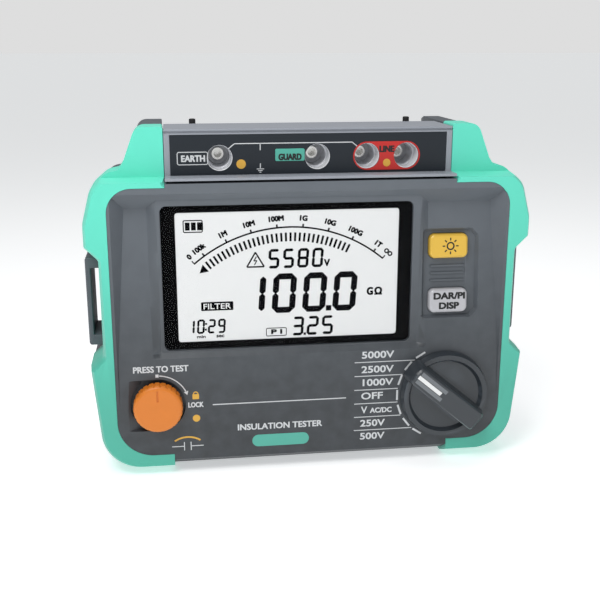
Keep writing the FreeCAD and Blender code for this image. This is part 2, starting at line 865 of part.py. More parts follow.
def make_terminal_board():
    d0 = label_plane + label_thick + socket_length + 0.1
    xs = list(socket_xs.values())
    plate = block(min(xs) - 10, max(xs) + 10, d0, d0 + board_thick,
                  terminal_low + 1.5, terminal_top - terminal_wall - 0.5)
    for x in xs:
        plate = plate.cut(rod(x, socket_z, contact_r + contact_wall + 0.1, d0 - 1, d0 + 5))
    return plate


# ---- display
def make_lcd_window():
    d0 = lcd_plane + window_sunk
    return slab(box_points(lcd_x0, lcd_x1, lcd_z0, lcd_z1, window_corner_r), d0, d0 + window_thick)


def make_lcd_mask():
    d0 = lcd_plane + window_sunk + window_thick
    outer = slab(box_points(lcd_x0, lcd_x1, lcd_z0, lcd_z1, window_corner_r), d0 + 0.02, d0 + mask_thick)
    return outer.cut(slab(display_points(), d0 - 1, d0 + 1))


def glass_front():
    return lcd_plane + window_sunk + window_thick + mask_thick + 0.05


def make_lcd_panel():
    return slab(glass_points(), glass_front(), glass_front() + panel_thick)


def make_lcd_light_guide():
    d0 = glass_front() + panel_thick + 0.1
    return slab(inset(glass_points(), 1.0), d0, d0 + guide_thick)


def make_lcd_holder():
    """Tray behind the panel wall that presses the display forward."""
    d0 = wall_back + 0.1
    outer = [(x, z, 2.0) for x, z, r in inset(glass_points(), -holder_wall - seat)]
    tray = slab(outer, d0, holder_depth)
    guide_back = glass_front() + panel_thick + 0.1 + guide_thick
    tray = tray.cut(slab(inset(glass_points(), 1.0 - seat), 0, guide_back))
    window = inset(glass_points(), 8.0)
    return tray.cut(slab(window, 0, holder_depth + 1))


def make_zebra_strips():
    """Two rubber connector strips between the display tray and the board."""
    points = glass_points()
    x0, x1 = points[0][0], points[1][0]
    z0, z1 = points[0][1], points[2][1]
    strips = []
    for z in (z0 + 3.0, z1 - 3.0):
        strips.append(block(x0 + 12, x1 - 12, holder_depth, board_depth, z - 1.25, z + 1.25))
    return Part.makeCompound(strips)


# ---- keys
def key_levels():
    base = ramp_depth(key_pivot())
    panel_back = base + pocket_depth + wall
    return base, panel_back


def make_key(row):
    base, panel_back = key_levels()
    face = base - key_proud
    crown = tapered([
        (key_points(row, -1.2), face), (key_points(row, -0.4), face + 0.5),
        (key_points(row, 0.0), face + 1.5),
    ])
    stem = slab(key_points(row, 0.0), face + 1.5, panel_back + 1.0)
    flange = slab(key_points(row, key_flange), panel_back + slip, panel_back + slip + key_flange_thick)
    return on_ramp(union([crown, stem, flange]), key_pivot())


def membrane_depth():
    base, panel_back = key_levels()
    return panel_back + slip + key_flange_thick + key_travel + slip


def make_keypad_membrane():
    d0 = membrane_depth() + dome_rise
    x0 = key_x0 - 2.0
    x1 = key_x0 + key_width + 2.0
    sheet = block(x0, x1, d0, d0 + membrane_thick, key_rows[1] - 2.0, key_rows[0] + key_height + 2.0)
    for row in (0, 1):
        x = key_x0 + key_width / 2
        z = key_rows[row] + key_height / 2
        cone = Part.makeCone(2.2, dome_r, dome_rise + 0.01, Vec(x, y_at(d0 - dome_rise), z), BACKWARD)
        sheet = sheet.fuse(cone)
    return on_ramp(sheet.removeSplitter(), key_pivot())


def make_key_board():
    d0 = membrane_depth() + dome_rise + membrane_thick + 0.1
    plate = block(key_x0 - 3.0, key_x0 + key_width + 3.0, d0, d0 + board_thick,
                  key_rows[1] - 3.0, key_rows[0] + key_height + 3.0)
    return on_ramp(plate, key_pivot())


def make_key_board_posts():
    """Spacers that tie the key board to the main board."""
    d0 = membrane_depth() + dome_rise + membrane_thick + 0.1 + board_thick
    middle = key_x0 + key_width / 2
    posts = []
    for row in (0, 1):
        z = key_rows[row] + key_height / 2
        lean = (z - key_pivot()) * ramp_slope
        posts.append(rod(middle, z, 2.2, d0 + lean + 0.5, board_depth))
    return Part.makeCompound(posts)


# ---- test knob, plunger and spring
def make_test_knob():
    body = rod(test_x, test_z, test_r, -test_front, test_skirt)
    rim_edges = [e for e in body.Edges if abs(e.CenterOfMass.y - y_at(-test_front)) < 0.01 and e.Length > 50]
    body = body.makeFillet(test_round, rim_edges)
    flute_ring = test_r + flute_r - flute_deep
    for i in range(flute_count):
        angle = 2 * math.pi * (i + 0.5) / flute_count
        x = test_x + flute_ring * math.cos(angle)
        z = test_z + flute_ring * math.sin(angle)
        body = body.cut(rod(x, z, flute_r, -test_front - 1, test_skirt + 1))
    body = body.cut(block(test_x - 0.45, test_x + 0.45, -test_front - 1, -test_front + 0.5,
                          test_z + test_r * 0.35, test_z + test_r * 0.8))
    body = body.cut(rod(test_x, test_z, test_r - test_wall - 0.4, -test_front + test_wall, test_skirt + 1))
    hub = rod(test_x, test_z, plunger_r + 1.5, -test_front + 1.0, -0.5)
    body = body.fuse(hub)
    return body.cut(rod(test_x, test_z, plunger_r + running, -test_front + test_wall, 1.0)).removeSplitter()


def panel_hub_back():
    return test_pocket_depth + 6.0


def make_test_plunger():
    d0 = -test_front + test_wall + 0.1
    shaft = rod(test_x, test_z, plunger_r, d0, panel_hub_back() + 4.5)
    tail = rod(test_x, test_z, 1.5, panel_hub_back() + 4.0, plunger_tail)
    groove = tube(test_x, test_z, plunger_r + 1, plunger_r - 1.0, clip_start(), clip_start() + clip_thick)
    return shaft.fuse(tail).cut(groove).removeSplitter()


def clip_start():
    return panel_hub_back() + 0.2


def make_plunger_clip():
    """Retaining ring in the plunger groove, stopping it against the panel hub."""
    d0 = clip_start()
    ring = tube(test_x, test_z, clip_r, plunger_r - 0.95, d0 + 0.05, d0 + clip_thick - 0.05)
    gap = block(test_x - 2.4, test_x + 2.4, d0 - 1, d0 + 5, test_z - clip_r - 1, test_z)
    return ring.cut(gap)


def make_test_spring():
    """Return spring between the panel and the underside of the knob."""
    d0 = -test_front + test_wall + spring_wire / 2 + 0.15
    d1 = test_pocket_depth - spring_wire / 2 - 0.15
    pitch = (d1 - d0) / spring_turns
    helix = Part.makeHelix(pitch, d1 - d0, spring_r)
    ring = Part.Wire(Part.makeCircle(spring_wire / 2, Vec(spring_r, 0, 0), Vec(0, 1, 0)))
    coil = Part.Wire(helix.Edges).makePipeShell([ring], True, False)
    coil.rotate(Vec(0, 0, 0), Vec(1, 0, 0), -90)
    coil.translate(Vec(test_x, y_at(d0), test_z))
    return coil


def make_test_microswitch():
    start = plunger_tail + test_travel + 0.3
    button = rod(test_x, test_z, 1.2, start, start + 1.0)
    body = block(test_x - 6.4, test_x + 6.4, start + 0.8, board_depth, test_z - 2.9, test_z + 2.9)
    return body.fuse(button).removeSplitter()


# ---- range switch
def grip_outline(length_front, width_front, width_back, length_back):
    return [
        (-length_back, -width_back / 2, 1.5), (length_front, -width_front / 2, 4.0),
        (length_front + 1.2, 0.0, 3.0), (length_front, width_front / 2, 4.0),
        (-length_back, width_back / 2, 1.5),
    ]


def aimed(shape):
    """Turns a shape drawn about the origin, pointing along +X, to the pointer's place on the knob."""
    turned = shape.copy()
    turned.rotate(Vec(0, 0, 0), FRONTWARD, pointer_angle)
    turned.translate(Vec(range_x, 0, range_z))
    return turned


def make_range_knob():
    """Dished knob with a bar grip across it."""
    rim = -range_rim_height
    skirt = Part.makeCone(range_r, range_r - 1.0, range_rim_height - range_gap,
                          Vec(0, y_at(-range_gap), 0), FRONTWARD)
    dish_r = range_r - range_dish_wall
    dish = Part.makeCone(dish_r, dish_r - 1.5, range_rim_height - range_floor - range_gap,
                         Vec(0, y_at(rim), 0), BACKWARD)
    top = grip_outline(range_r - 0.6, grip_width - 3.0, grip_tail_width - 2.0, range_r - 4.2)
    edge = grip_outline(range_r + 0.2, grip_width - 1.2, grip_tail_width - 0.8, range_r - 3.4)
    foot = grip_outline(range_r + 0.8, grip_width + 1.5, grip_tail_width + 1.5, range_r - 0.6)
    grip_top = tapered([(top, -knob_proud), (edge, -knob_proud + 1.0), (foot, -range_gap - 0.4)])
    body = skirt.cut(dish).fuse(grip_top)
    body = body.cut(rod(0, 0, shaft_r + 0.02, -knob_proud + 3.0, 5.0))
    body = body.cut(rod(0, 0, bush_nut_r + 0.5, -bush_nut_thick - 0.45, 5.0))
    tip = range_r - pointer_in
    slot = block(tip - pointer_length, tip, -knob_proud - 1, -knob_proud + pointer_sunk,
                 -pointer_width / 2, pointer_width / 2)
    return aimed(body.cut(slot).removeSplitter())


def make_range_pointer():
    x1 = range_r - pointer_in - 0.05
    z1 = pointer_width / 2 - 0.05
    front = -knob_proud + 0.05
    return aimed(block(x1 - pointer_length + 0.1, x1, front, front + pointer_sunk - 0.07, -z1, z1))


def ring_places(count, radius):
    """Evenly spaced places round the range knob's axis."""
    angles = [2 * math.pi * i / count for i in range(count)]
    return [(range_x + radius * math.cos(a), range_z + radius * math.sin(a)) for a in angles]


def switch_front():
    return lower_wall_back + 2.0 + seat


def make_range_shaft():
    front = -knob_proud + 3.2
    body = rod(range_x, range_z, shaft_r, front, front + shaft_length)
    flat = block(range_x - 5, range_x + 5, front - 1, front + 6.0, range_z + shaft_r - 0.6, range_z + 5)
    return body.cut(flat)


def make_switch_bush():
    """Threaded bush and its nut, which clamp the rotary switch to the panel."""
    bush = tube(range_x, range_z, bush_r, shaft_r + running, -bush_nut_thick - 0.2, switch_front())
    nut_points = [(x, z, 0.3) for x, z in ring_places(6, bush_nut_r)]
    nut = slab(nut_points, -bush_nut_thick, -0.05).cut(rod(range_x, range_z, bush_r - 0.5, -10, 10))
    return bush.fuse(nut).removeSplitter()


def make_rotary_switch():
    d0 = switch_front()
    d1 = d0 + switch_length
    body = rod(range_x, range_z, switch_r, d0, d1)
    body = body.cut(rod(range_x, range_z, switch_r - switch_wall, d0 + switch_wall, d1 - switch_wall))
    body = body.cut(rod(range_x, range_z, shaft_r + running, d0 - 1, d1 + 1))
    pins = [rod(x, z, switch_pin_r, d1 - 0.5, board_depth + board_thick + 1.5)
            for x, z in ring_places(switch_pins, switch_pin_ring)]
    return union([body] + pins)


def make_switch_rotor():
    d0 = switch_front() + switch_wall + slip
    d1 = switch_front() + switch_length - switch_wall - slip
    body = tube(range_x, range_z, switch_r - switch_wall - slip, shaft_r + 0.02, d0, d1)
    return body.cut(tube(range_x, range_z, switch_r - switch_wall - 2.5, shaft_r + 3.0, d0 - 1, d0 + 4.0))


# ---- boards and power parts
def board_half_x():
    return panel_half - board_margin


def board_span():
    return (rim_bottom_z + 4.5, recess_top - 5.0)


def make_main_board():
    z0, z1 = board_span()
    x = board_half_x()
    board = slab(box_points(-x, x, z0, z1, 3.0), board_depth, board_depth + board_thick)
    holes = [rod(x, z, boss_r + 1.0, 0, 60) for x, z in case_screw_places()]
    holes += [rod(x, z, board_screw_r + 0.1, 0, 60) for x, z in spacer_places()]
    holes.append(rod(range_x, range_z, shaft_r + 1.0, 0, 60))
    holes += [rod(x, z, switch_pin_r + 0.1, 0, 60) for x, z in ring_places(switch_pins, switch_pin_ring)]
    for hole in holes:
        board = board.cut(hole)
    return board


def make_board_spacers():
    hole_r = board_screw_r + 0.1
    spacers = [tube(x, z, spacer_r, hole_r, wall_back + 0.05, board_depth) for x, z in spacer_places()]
    return Part.makeCompound(spacers)


def make_board_screws():
    """Screws through the main board and the spacers into the front case."""
    screws = []
    back = board_depth + board_thick
    for x, z in spacer_places():
        shank = rod(x, z, board_screw_r - 0.05, wall_back - 1.3, back + 0.5)
        head = rod(x, z, 2.6, back + 0.05, back + 1.9)
        screws.append(shank.fuse(head).cut(block(x - 3, x + 3, back + 1.2, back + 3, z - 0.35, z + 0.35)))
    return Part.makeCompound(screws)


def board_back():
    return board_depth + board_thick


def on_board(place, size, corner, lift):
    """A rounded block standing on the back of the main board."""
    x, z = place
    wide, high, deep = size
    points = box_points(x - wide / 2, x + wide / 2, z - high / 2, z + high / 2, corner)
    d0 = board_back() + seat + lift
    return slab(points, d0, d0 + deep)


def make_hv_transformer():
    core = on_board(transformer_place, core_size, 2.0, 0.0)
    winding = on_board(transformer_place, winding_size, 5.0, (core_size[2] - winding_size[2]) / 2)
    return core.fuse(winding).removeSplitter()


def make_hv_multiplier():
    return on_board(multiplier_place, multiplier_size, 3.0, 0.0)


def make_filter_capacitors():
    cans = []
    x, z = capacitor_place
    d0 = board_back() + seat
    for i in range(capacitor_count):
        can = rod(x + capacitor_pitch * i, z, capacitor_r, d0, d0 + capacitor_length)
        rims = [e for e in can.Edges if e.Length > 2 * capacitor_r * 3 and e.CenterOfMass.y > y_at(d0 + 1)]
        cans.append(can.makeFillet(0.8, rims))
    return Part.makeCompound(cans)


def make_buzzer():
    x, z = buzzer_place
    d0 = board_back() + seat
    body = rod(x, z, buzzer_r, d0, d0 + buzzer_length)
    return body.cut(rod(x, z, 1.2, d0 + buzzer_length - 2.5, d0 + buzzer_length + 1))


# ---- batteries
def cell_places():
    places = []
    for row in range(cell_rows):
        z = well_z + cell_gap + cell_r + row * (2 * cell_r + cell_gap)
        for column in (-1, 1):
            places.append((column, z))
    return places


def make_battery_cells():
    """Eight C cells lying across the case in two columns, nubs pointing left."""
    cells = []
    for column, z in cell_places():
        x0 = 0.5 + cell_nub if column > 0 else -cell_length - 0.5
        can = Part.makeCylinder(cell_r, cell_length, Vec(x0, y_at(cell_depth), z), Vec(1, 0, 0))
        nub = Part.makeCylinder(cell_nub_r, cell_nub, Vec(x0 - cell_nub, y_at(cell_depth), z), Vec(1, 0, 0))
        cells.append(can.fuse(nub).removeSplitter())
    return Part.makeCompound(cells)


def make_battery_contacts():
    """Pressed plates in the two ends of the well, each with a domed spring face."""
    plates = []
    x_wall = well_half_x - seat
    for row in range(cell_rows):
        z = well_z + cell_gap + cell_r + row * (2 * cell_r + cell_gap)
        left_end = -cell_length - 0.5 - cell_nub
        right_end = 0.5 + cell_nub + cell_length
        for face, tip in ((-x_wall, left_end - 0.2), (x_wall, right_end + 0.2)):
            inward = 1 if face < 0 else -1
            x0, x1 = sorted((face, face + inward * contact_plate))
            plate = block(x0, x1, cell_depth - 9, cell_depth + 9, z - 9, z + 9)
            rise = abs(tip - face) - contact_plate
            foot = Vec(face + inward * (contact_plate - 0.05), y_at(cell_depth), z)
            dome = Part.makeCone(5.0, 2.5, rise + 0.05, foot, Vec(inward, 0, 0))
            plates.append(plate.fuse(dome).removeSplitter())
    return Part.makeCompound(plates)


def make_battery_cover():
    d0 = case_back - cover_thick
    cover = cover_plan(0.0, d0, case_back)
    for x, z in cover_screw_places():
        cover = cover.cut(rod(x, z, cover_screw_r + 0.2, d0 - 1, case_back + 1))
        cover = cover.cut(rod(x, z, 4.0, case_back - 1.2, case_back + 1))
    for i in range(5):
        z = well_z + well_height / 2 + (i - 2) * 6.0
        cover = cover.cut(block(-22, 22, case_back - 0.7, case_back + 1, z - 1.0, z + 1.0))
    return cover


def make_cover_gasket():
    d0 = case_back - cover_thick - cover_gasket
    outer = inset(cover_points(0.0), 0.6)
    x0, x1, z0, z1 = well_span()
    ring = slab(outer, d0 + 0.02, d0 + cover_gasket - 0.02)
    return ring.cut(slab(box_points(x0 - 2.5, x1 + 2.5, z0 - 2.5, z1 + 2.5, 2.0), d0 - 1, d0 + 2))


def make_cover_screws():
    """Captive screws that stay with the cover."""
    screws = []
    for x, z in cover_screw_places():
        head = rod(x, z, 3.8, case_back - 1.15, case_back + 0.6)
        shank = rod(x, z, cover_screw_r, case_back - cover_thick - cover_gasket - 7.0, case_back - 1.0)
        screw = head.fuse(shank).removeSplitter()
        screws.append(screw.cut(block(x - 3.2, x + 3.2, case_back - 0.3, case_back + 2, z - 0.5, z + 0.5)))
    return Part.makeCompound(screws)


# ---- fasteners and feet
def make_case_screws():
    screws = []
    head_back = sleeve_floor + screw_head_thick
    for x, z in case_screw_places():
        head = rod(x, z, screw_head_r, sleeve_floor + 0.05, head_back)
        shank = rod(x, z, screw_r, parting - 11.0, sleeve_floor + 0.5)
        screw = head.fuse(shank).removeSplitter()
        for turn in (0, 90):
            slot = block(x - 1.8, x + 1.8, head_back - 1.2, head_back + 1, z - 0.4, z + 0.4)
            slot.rotate(Vec(x, 0, z), BACKWARD, turn)
            screw = screw.cut(slot)
        screws.append(screw)
    return Part.makeCompound(screws)


def make_rear_feet():
    feet = []
    for x in (-half + 33.0, half - 33.0):
        for z in (14.0, tower_top - 18.0):
            place = Vec(x, y_at(case_back), z)
            feet.append(Part.makeCone(rear_foot_r, rear_foot_r - 0.8, rear_foot_thick, place, BACKWARD))
    return Part.makeCompound(feet)


def make_top_pegs():
    """Two small rubber pegs on the saddle between the towers."""
    low = tower_top - saddle_drop - 0.6
    pegs = []
    for x in (-peg_x, peg_x):
        peg = Part.makeCylinder(peg_r, case_height - low, Vec(x, y_at(peg_depth), low), Vec(0, 0, 1))
        tip = [e for e in peg.Edges if e.CenterOfMass.z > case_height - 0.01 and e.Length > 10]
        pegs.append(peg.makeFillet(0.6, tip))
    return Part.makeCompound(pegs)


def make_nodes():
    bumper = make_bumper()
    nodes = {
        "front_case": make_front_case(),
        "rear_case": make_rear_case(),
        "case_gasket": make_gasket(),
        "bumper_right": bumper,
        "bumper_left": mirrored(bumper),
        "strap_bar_left": make_strap_bar(-1),
        "strap_bar_right": make_strap_bar(1),
        "terminal_housing": make_terminal_housing(),
        "terminal_label": make_terminal_label(),
        "line_label": make_line_label(),
        "guard_label": make_guard_label(),
        "socket_contacts": make_contacts(),
        "terminal_board": make_terminal_board(),
        "lcd_window": make_lcd_window(),
        "lcd_mask": make_lcd_mask(),
        "lcd_panel": make_lcd_panel(),
        "lcd_light_guide": make_lcd_light_guide(),
        "lcd_holder": make_lcd_holder(),
        "zebra_strips": make_zebra_strips(),
        "backlight_button": make_key(0),
        "display_button": make_key(1),
        "keypad_membrane": make_keypad_membrane(),
        "key_board": make_key_board(),
        "key_board_posts": make_key_board_posts(),
        "test_knob": make_test_knob(),
        "test_plunger": make_test_plunger(),
        "plunger_clip": make_plunger_clip(),
        "test_spring": make_test_spring(),
        "test_microswitch": make_test_microswitch(),
        "range_knob": make_range_knob(),
        "range_pointer": make_range_pointer(),
        "range_shaft": make_range_shaft(),
        "switch_bush": make_switch_bush(),
        "rotary_switch": make_rotary_switch(),
        "switch_rotor": make_switch_rotor(),
        "main_board": make_main_board(),
        "board_spacers": make_board_spacers(),
        "board_screws": make_board_screws(),
        "hv_transformer": make_hv_transformer(),
        "hv_multiplier": make_hv_multiplier(),
        "filter_capacitors": make_filter_capacitors(),
        "buzzer": make_buzzer(),
        "battery_cells": make_battery_cells(),
        "battery_contacts": make_battery_contacts(),
        "battery_cover": make_battery_cover(),
        "battery_cover_gasket": make_cover_gasket(),
        "cover_screws": make_cover_screws(),
        "case_screws": make_case_screws(),
        "rear_feet": make_rear_feet(),
        "top_pegs": make_top_pegs(),
    }
    for name in socket_xs:
        nodes[name + "_socket"] = make_socket(name)
    return nodes


def main():
    os.makedirs("parts", exist_ok=True)
    for name, shape in make_nodes().items():
        if not shape.isValid():
            print("not valid:", name)
        shape.exportStep(os.path.join("parts", name + ".step"))
        print(name, len(shape.Solids), "solids", round(shape.Volume, 1), "mm3")


main()
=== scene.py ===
import json
import math

import bmesh
import bpy
from mathutils import Matrix, Vector


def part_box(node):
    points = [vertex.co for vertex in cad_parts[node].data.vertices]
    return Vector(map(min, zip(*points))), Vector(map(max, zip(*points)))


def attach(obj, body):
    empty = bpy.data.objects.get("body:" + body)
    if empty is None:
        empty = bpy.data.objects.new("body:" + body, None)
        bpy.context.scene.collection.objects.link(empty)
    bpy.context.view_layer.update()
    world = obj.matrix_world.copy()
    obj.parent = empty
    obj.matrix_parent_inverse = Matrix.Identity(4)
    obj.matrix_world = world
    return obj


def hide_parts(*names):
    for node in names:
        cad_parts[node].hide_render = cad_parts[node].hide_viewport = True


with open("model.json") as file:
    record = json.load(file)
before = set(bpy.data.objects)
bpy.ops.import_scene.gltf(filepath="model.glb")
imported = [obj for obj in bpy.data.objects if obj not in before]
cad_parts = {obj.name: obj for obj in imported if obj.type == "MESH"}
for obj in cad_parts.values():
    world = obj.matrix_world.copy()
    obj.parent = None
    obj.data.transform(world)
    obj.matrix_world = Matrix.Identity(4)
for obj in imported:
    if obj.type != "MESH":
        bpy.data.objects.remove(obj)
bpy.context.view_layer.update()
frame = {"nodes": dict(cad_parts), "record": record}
scene = bpy.context.scene
print("frame loaded")

# Everything below is drawn in millimetres: x to the right, depth behind the rim of the front case, z up.
knobProud = 13.0
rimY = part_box("range_knob")[0].y + knobProud / 1000


# Surface effects that several finishes share; lengths here are in metres.
effectSizes = {
    "bumpDepth": 0.0002, "smudgeScale": 42.0, "rubScale": 140.0, "ridgeFrom": 0.52, "ridgeTo": 0.62,
    # paintedShadeFrom and paintedShadeTo are the heights in metres over which the painted shade fades out.
    "paintedShadeFrom": 0.02, "paintedShadeTo": 0.15,
}


def newGroup(name, inputs, output, kind):
    group = bpy.data.node_groups.new(name, "ShaderNodeTree")
    for label, socketKind, value in inputs:
        group.interface.new_socket(label, in_out="INPUT", socket_type=socketKind).default_value = value
    group.interface.new_socket(output, in_out="OUTPUT", socket_type=kind)
    start = group.nodes.new("NodeGroupInput")
    end = group.nodes.new("NodeGroupOutput")
    return group, start, end


def addNode(tree, kind, **settings):
    node = tree.nodes.new(kind)
    for key, value in settings.items():
        setattr(node, key, value)
    return node


def addMath(tree, operation, first, second):
    node = addNode(tree, "ShaderNodeMath", operation=operation)
    for socket, value in zip(node.inputs, (first, second)):
        if isinstance(value, (int, float)):
            socket.default_value = value
        else:
            tree.links.new(value, socket)
    return node.outputs[0]


def addNoise(tree, scale, detail, stretch=(1.0, 1.0, 1.0)):
    coords = addNode(tree, "ShaderNodeTexCoord")
    mapping = addNode(tree, "ShaderNodeMapping")
    mapping.inputs["Scale"].default_value = stretch
    noise = addNode(tree, "ShaderNodeTexNoise")
    noise.inputs["Detail"].default_value = detail
    tree.links.new(coords.outputs["Object"], mapping.inputs["Vector"])
    tree.links.new(mapping.outputs["Vector"], noise.inputs["Vector"])
    if isinstance(scale, (int, float)):
        noise.inputs["Scale"].default_value = scale
    else:
        tree.links.new(scale, noise.inputs["Scale"])
    return noise.outputs["Fac"]


def addSwing(tree, scale, detail, spread):
    # Noise that swings by the spread to both sides of zero.
    swing = addMath(tree, "SUBTRACT", addNoise(tree, scale, detail), 0.5)
    swing = addMath(tree, "MULTIPLY", swing, 2.0)
    return addMath(tree, "MULTIPLY", swing, spread)


def makeBumps(name, scale, strength, detail, stretch=(1.0, 1.0, 1.0)):
    group, start, end = newGroup(
        name, [("Scale", "NodeSocketFloat", scale), ("Strength", "NodeSocketFloat", strength)],
        "Normal", "NodeSocketVector")
    bump = addNode(group, "ShaderNodeBump")
    bump.inputs["Distance"].default_value = effectSizes["bumpDepth"]
    group.links.new(addNoise(group, start.outputs["Scale"], detail, stretch), bump.inputs["Height"])
    group.links.new(start.outputs["Strength"], bump.inputs["Strength"])
    group.links.new(bump.outputs["Normal"], end.inputs["Normal"])
    return group


def makeToneDrift():
    group, start, end = newGroup(
        "toneDrift",
        [("Colour", "NodeSocketColor", (0.5, 0.5, 0.5, 1.0)), ("Spread", "NodeSocketFloat", 0.05),
         ("Scale", "NodeSocketFloat", 25.0)],
        "Colour", "NodeSocketColor")
    drift = addMath(group, "ADD", addSwing(group, start.outputs["Scale"], 4.0, start.outputs["Spread"]), 1.0)
    scaled = addNode(group, "ShaderNodeVectorMath", operation="SCALE")
    group.links.new(start.outputs["Colour"], scaled.inputs[0])
    group.links.new(drift, scaled.inputs["Scale"])
    group.links.new(scaled.outputs[0], end.inputs["Colour"])
    return group


def makeEdgeRub():
    group, start, end = newGroup(
        "edgeRub",
        [("Colour", "NodeSocketColor", (0.5, 0.5, 0.5, 1.0)),
         ("Worn", "NodeSocketColor", (0.8, 0.8, 0.8, 1.0)), ("Amount", "NodeSocketFloat", 0.3)],
        "Colour", "NodeSocketColor")
    geometry = addNode(group, "ShaderNodeNewGeometry")
    ridge = addNode(group, "ShaderNodeMapRange")
    ridge.inputs["From Min"].default_value = effectSizes["ridgeFrom"]
    ridge.inputs["From Max"].default_value = effectSizes["ridgeTo"]
    group.links.new(geometry.outputs["Pointiness"], ridge.inputs["Value"])
    patchy = addMath(group, "MULTIPLY", ridge.outputs[0], addNoise(group, effectSizes["rubScale"], 3.0))
    patchy = addMath(group, "MULTIPLY", patchy, start.outputs["Amount"])
    blend = addNode(group, "ShaderNodeMix", data_type="RGBA")
    group.links.new(patchy, blend.inputs["Factor"])
    group.links.new(start.outputs["Colour"], blend.inputs["A"])
    group.links.new(start.outputs["Worn"], blend.inputs["B"])
    group.links.new(blend.outputs["Result"], end.inputs["Colour"])
    return group


def makeSmudge():
    group, start, end = newGroup(
        "handlingSmudge",
        [("Roughness", "NodeSocketFloat", 0.4), ("Spread", "NodeSocketFloat", 0.1)],
        "Roughness", "NodeSocketFloat")
    smudge = addSwing(group, effectSizes["smudgeScale"], 5.0, start.outputs["Spread"])
    group.links.new(addMath(group, "ADD", smudge, start.outputs["Roughness"]), end.inputs["Roughness"])
    return group


# Painted shade: darkens a colour towards the bottom of a piece by its height, standing in for the key light
# growing weaker lower down.
def makePaintedShade():
    group, start, end = newGroup(
        "paintedLowerShade",
        [("Colour", "NodeSocketColor", (0.5, 0.5, 0.5, 1.0)), ("Low", "NodeSocketFloat", 0.7)],
        "Colour", "NodeSocketColor")
    coords = addNode(group, "ShaderNodeTexCoord")
    parts = addNode(group, "ShaderNodeSeparateXYZ")
    group.links.new(coords.outputs["Object"], parts.inputs[0])
    height = addNode(group, "ShaderNodeMapRange", interpolation_type="SMOOTHSTEP")
    height.inputs["From Min"].default_value = effectSizes["paintedShadeFrom"]
    height.inputs["From Max"].default_value = effectSizes["paintedShadeTo"]
    height.inputs["To Max"].default_value = 1.0
    group.links.new(parts.outputs["Z"], height.inputs["Value"])
    group.links.new(start.outputs["Low"], height.inputs["To Min"])
    scaled = addNode(group, "ShaderNodeVectorMath", operation="SCALE")
    group.links.new(start.outputs["Colour"], scaled.inputs[0])
    group.links.new(height.outputs[0], scaled.inputs["Scale"])
    group.links.new(scaled.outputs[0], end.inputs["Colour"])
    return group


effects = {
    "grain": makeBumps("mouldGrain", 2200.0, 0.2, 3.0),
    "brushing": makeBumps("brushedLines", 900.0, 0.3, 2.0, (1.0, 0.04, 1.0)),
    "drift": makeToneDrift(), "rub": makeEdgeRub(), "smudge": makeSmudge(), "paintedShade": makePaintedShade(),
}


def useEffect(tree, effect, **values):
    node = addNode(tree, "ShaderNodeGroup", node_tree=effects[effect])
    for key, value in values.items():
        if isinstance(value, bpy.types.NodeSocket):
            tree.links.new(value, node.inputs[key])
        else:
            node.inputs[key].default_value = value
    return node.outputs[0]


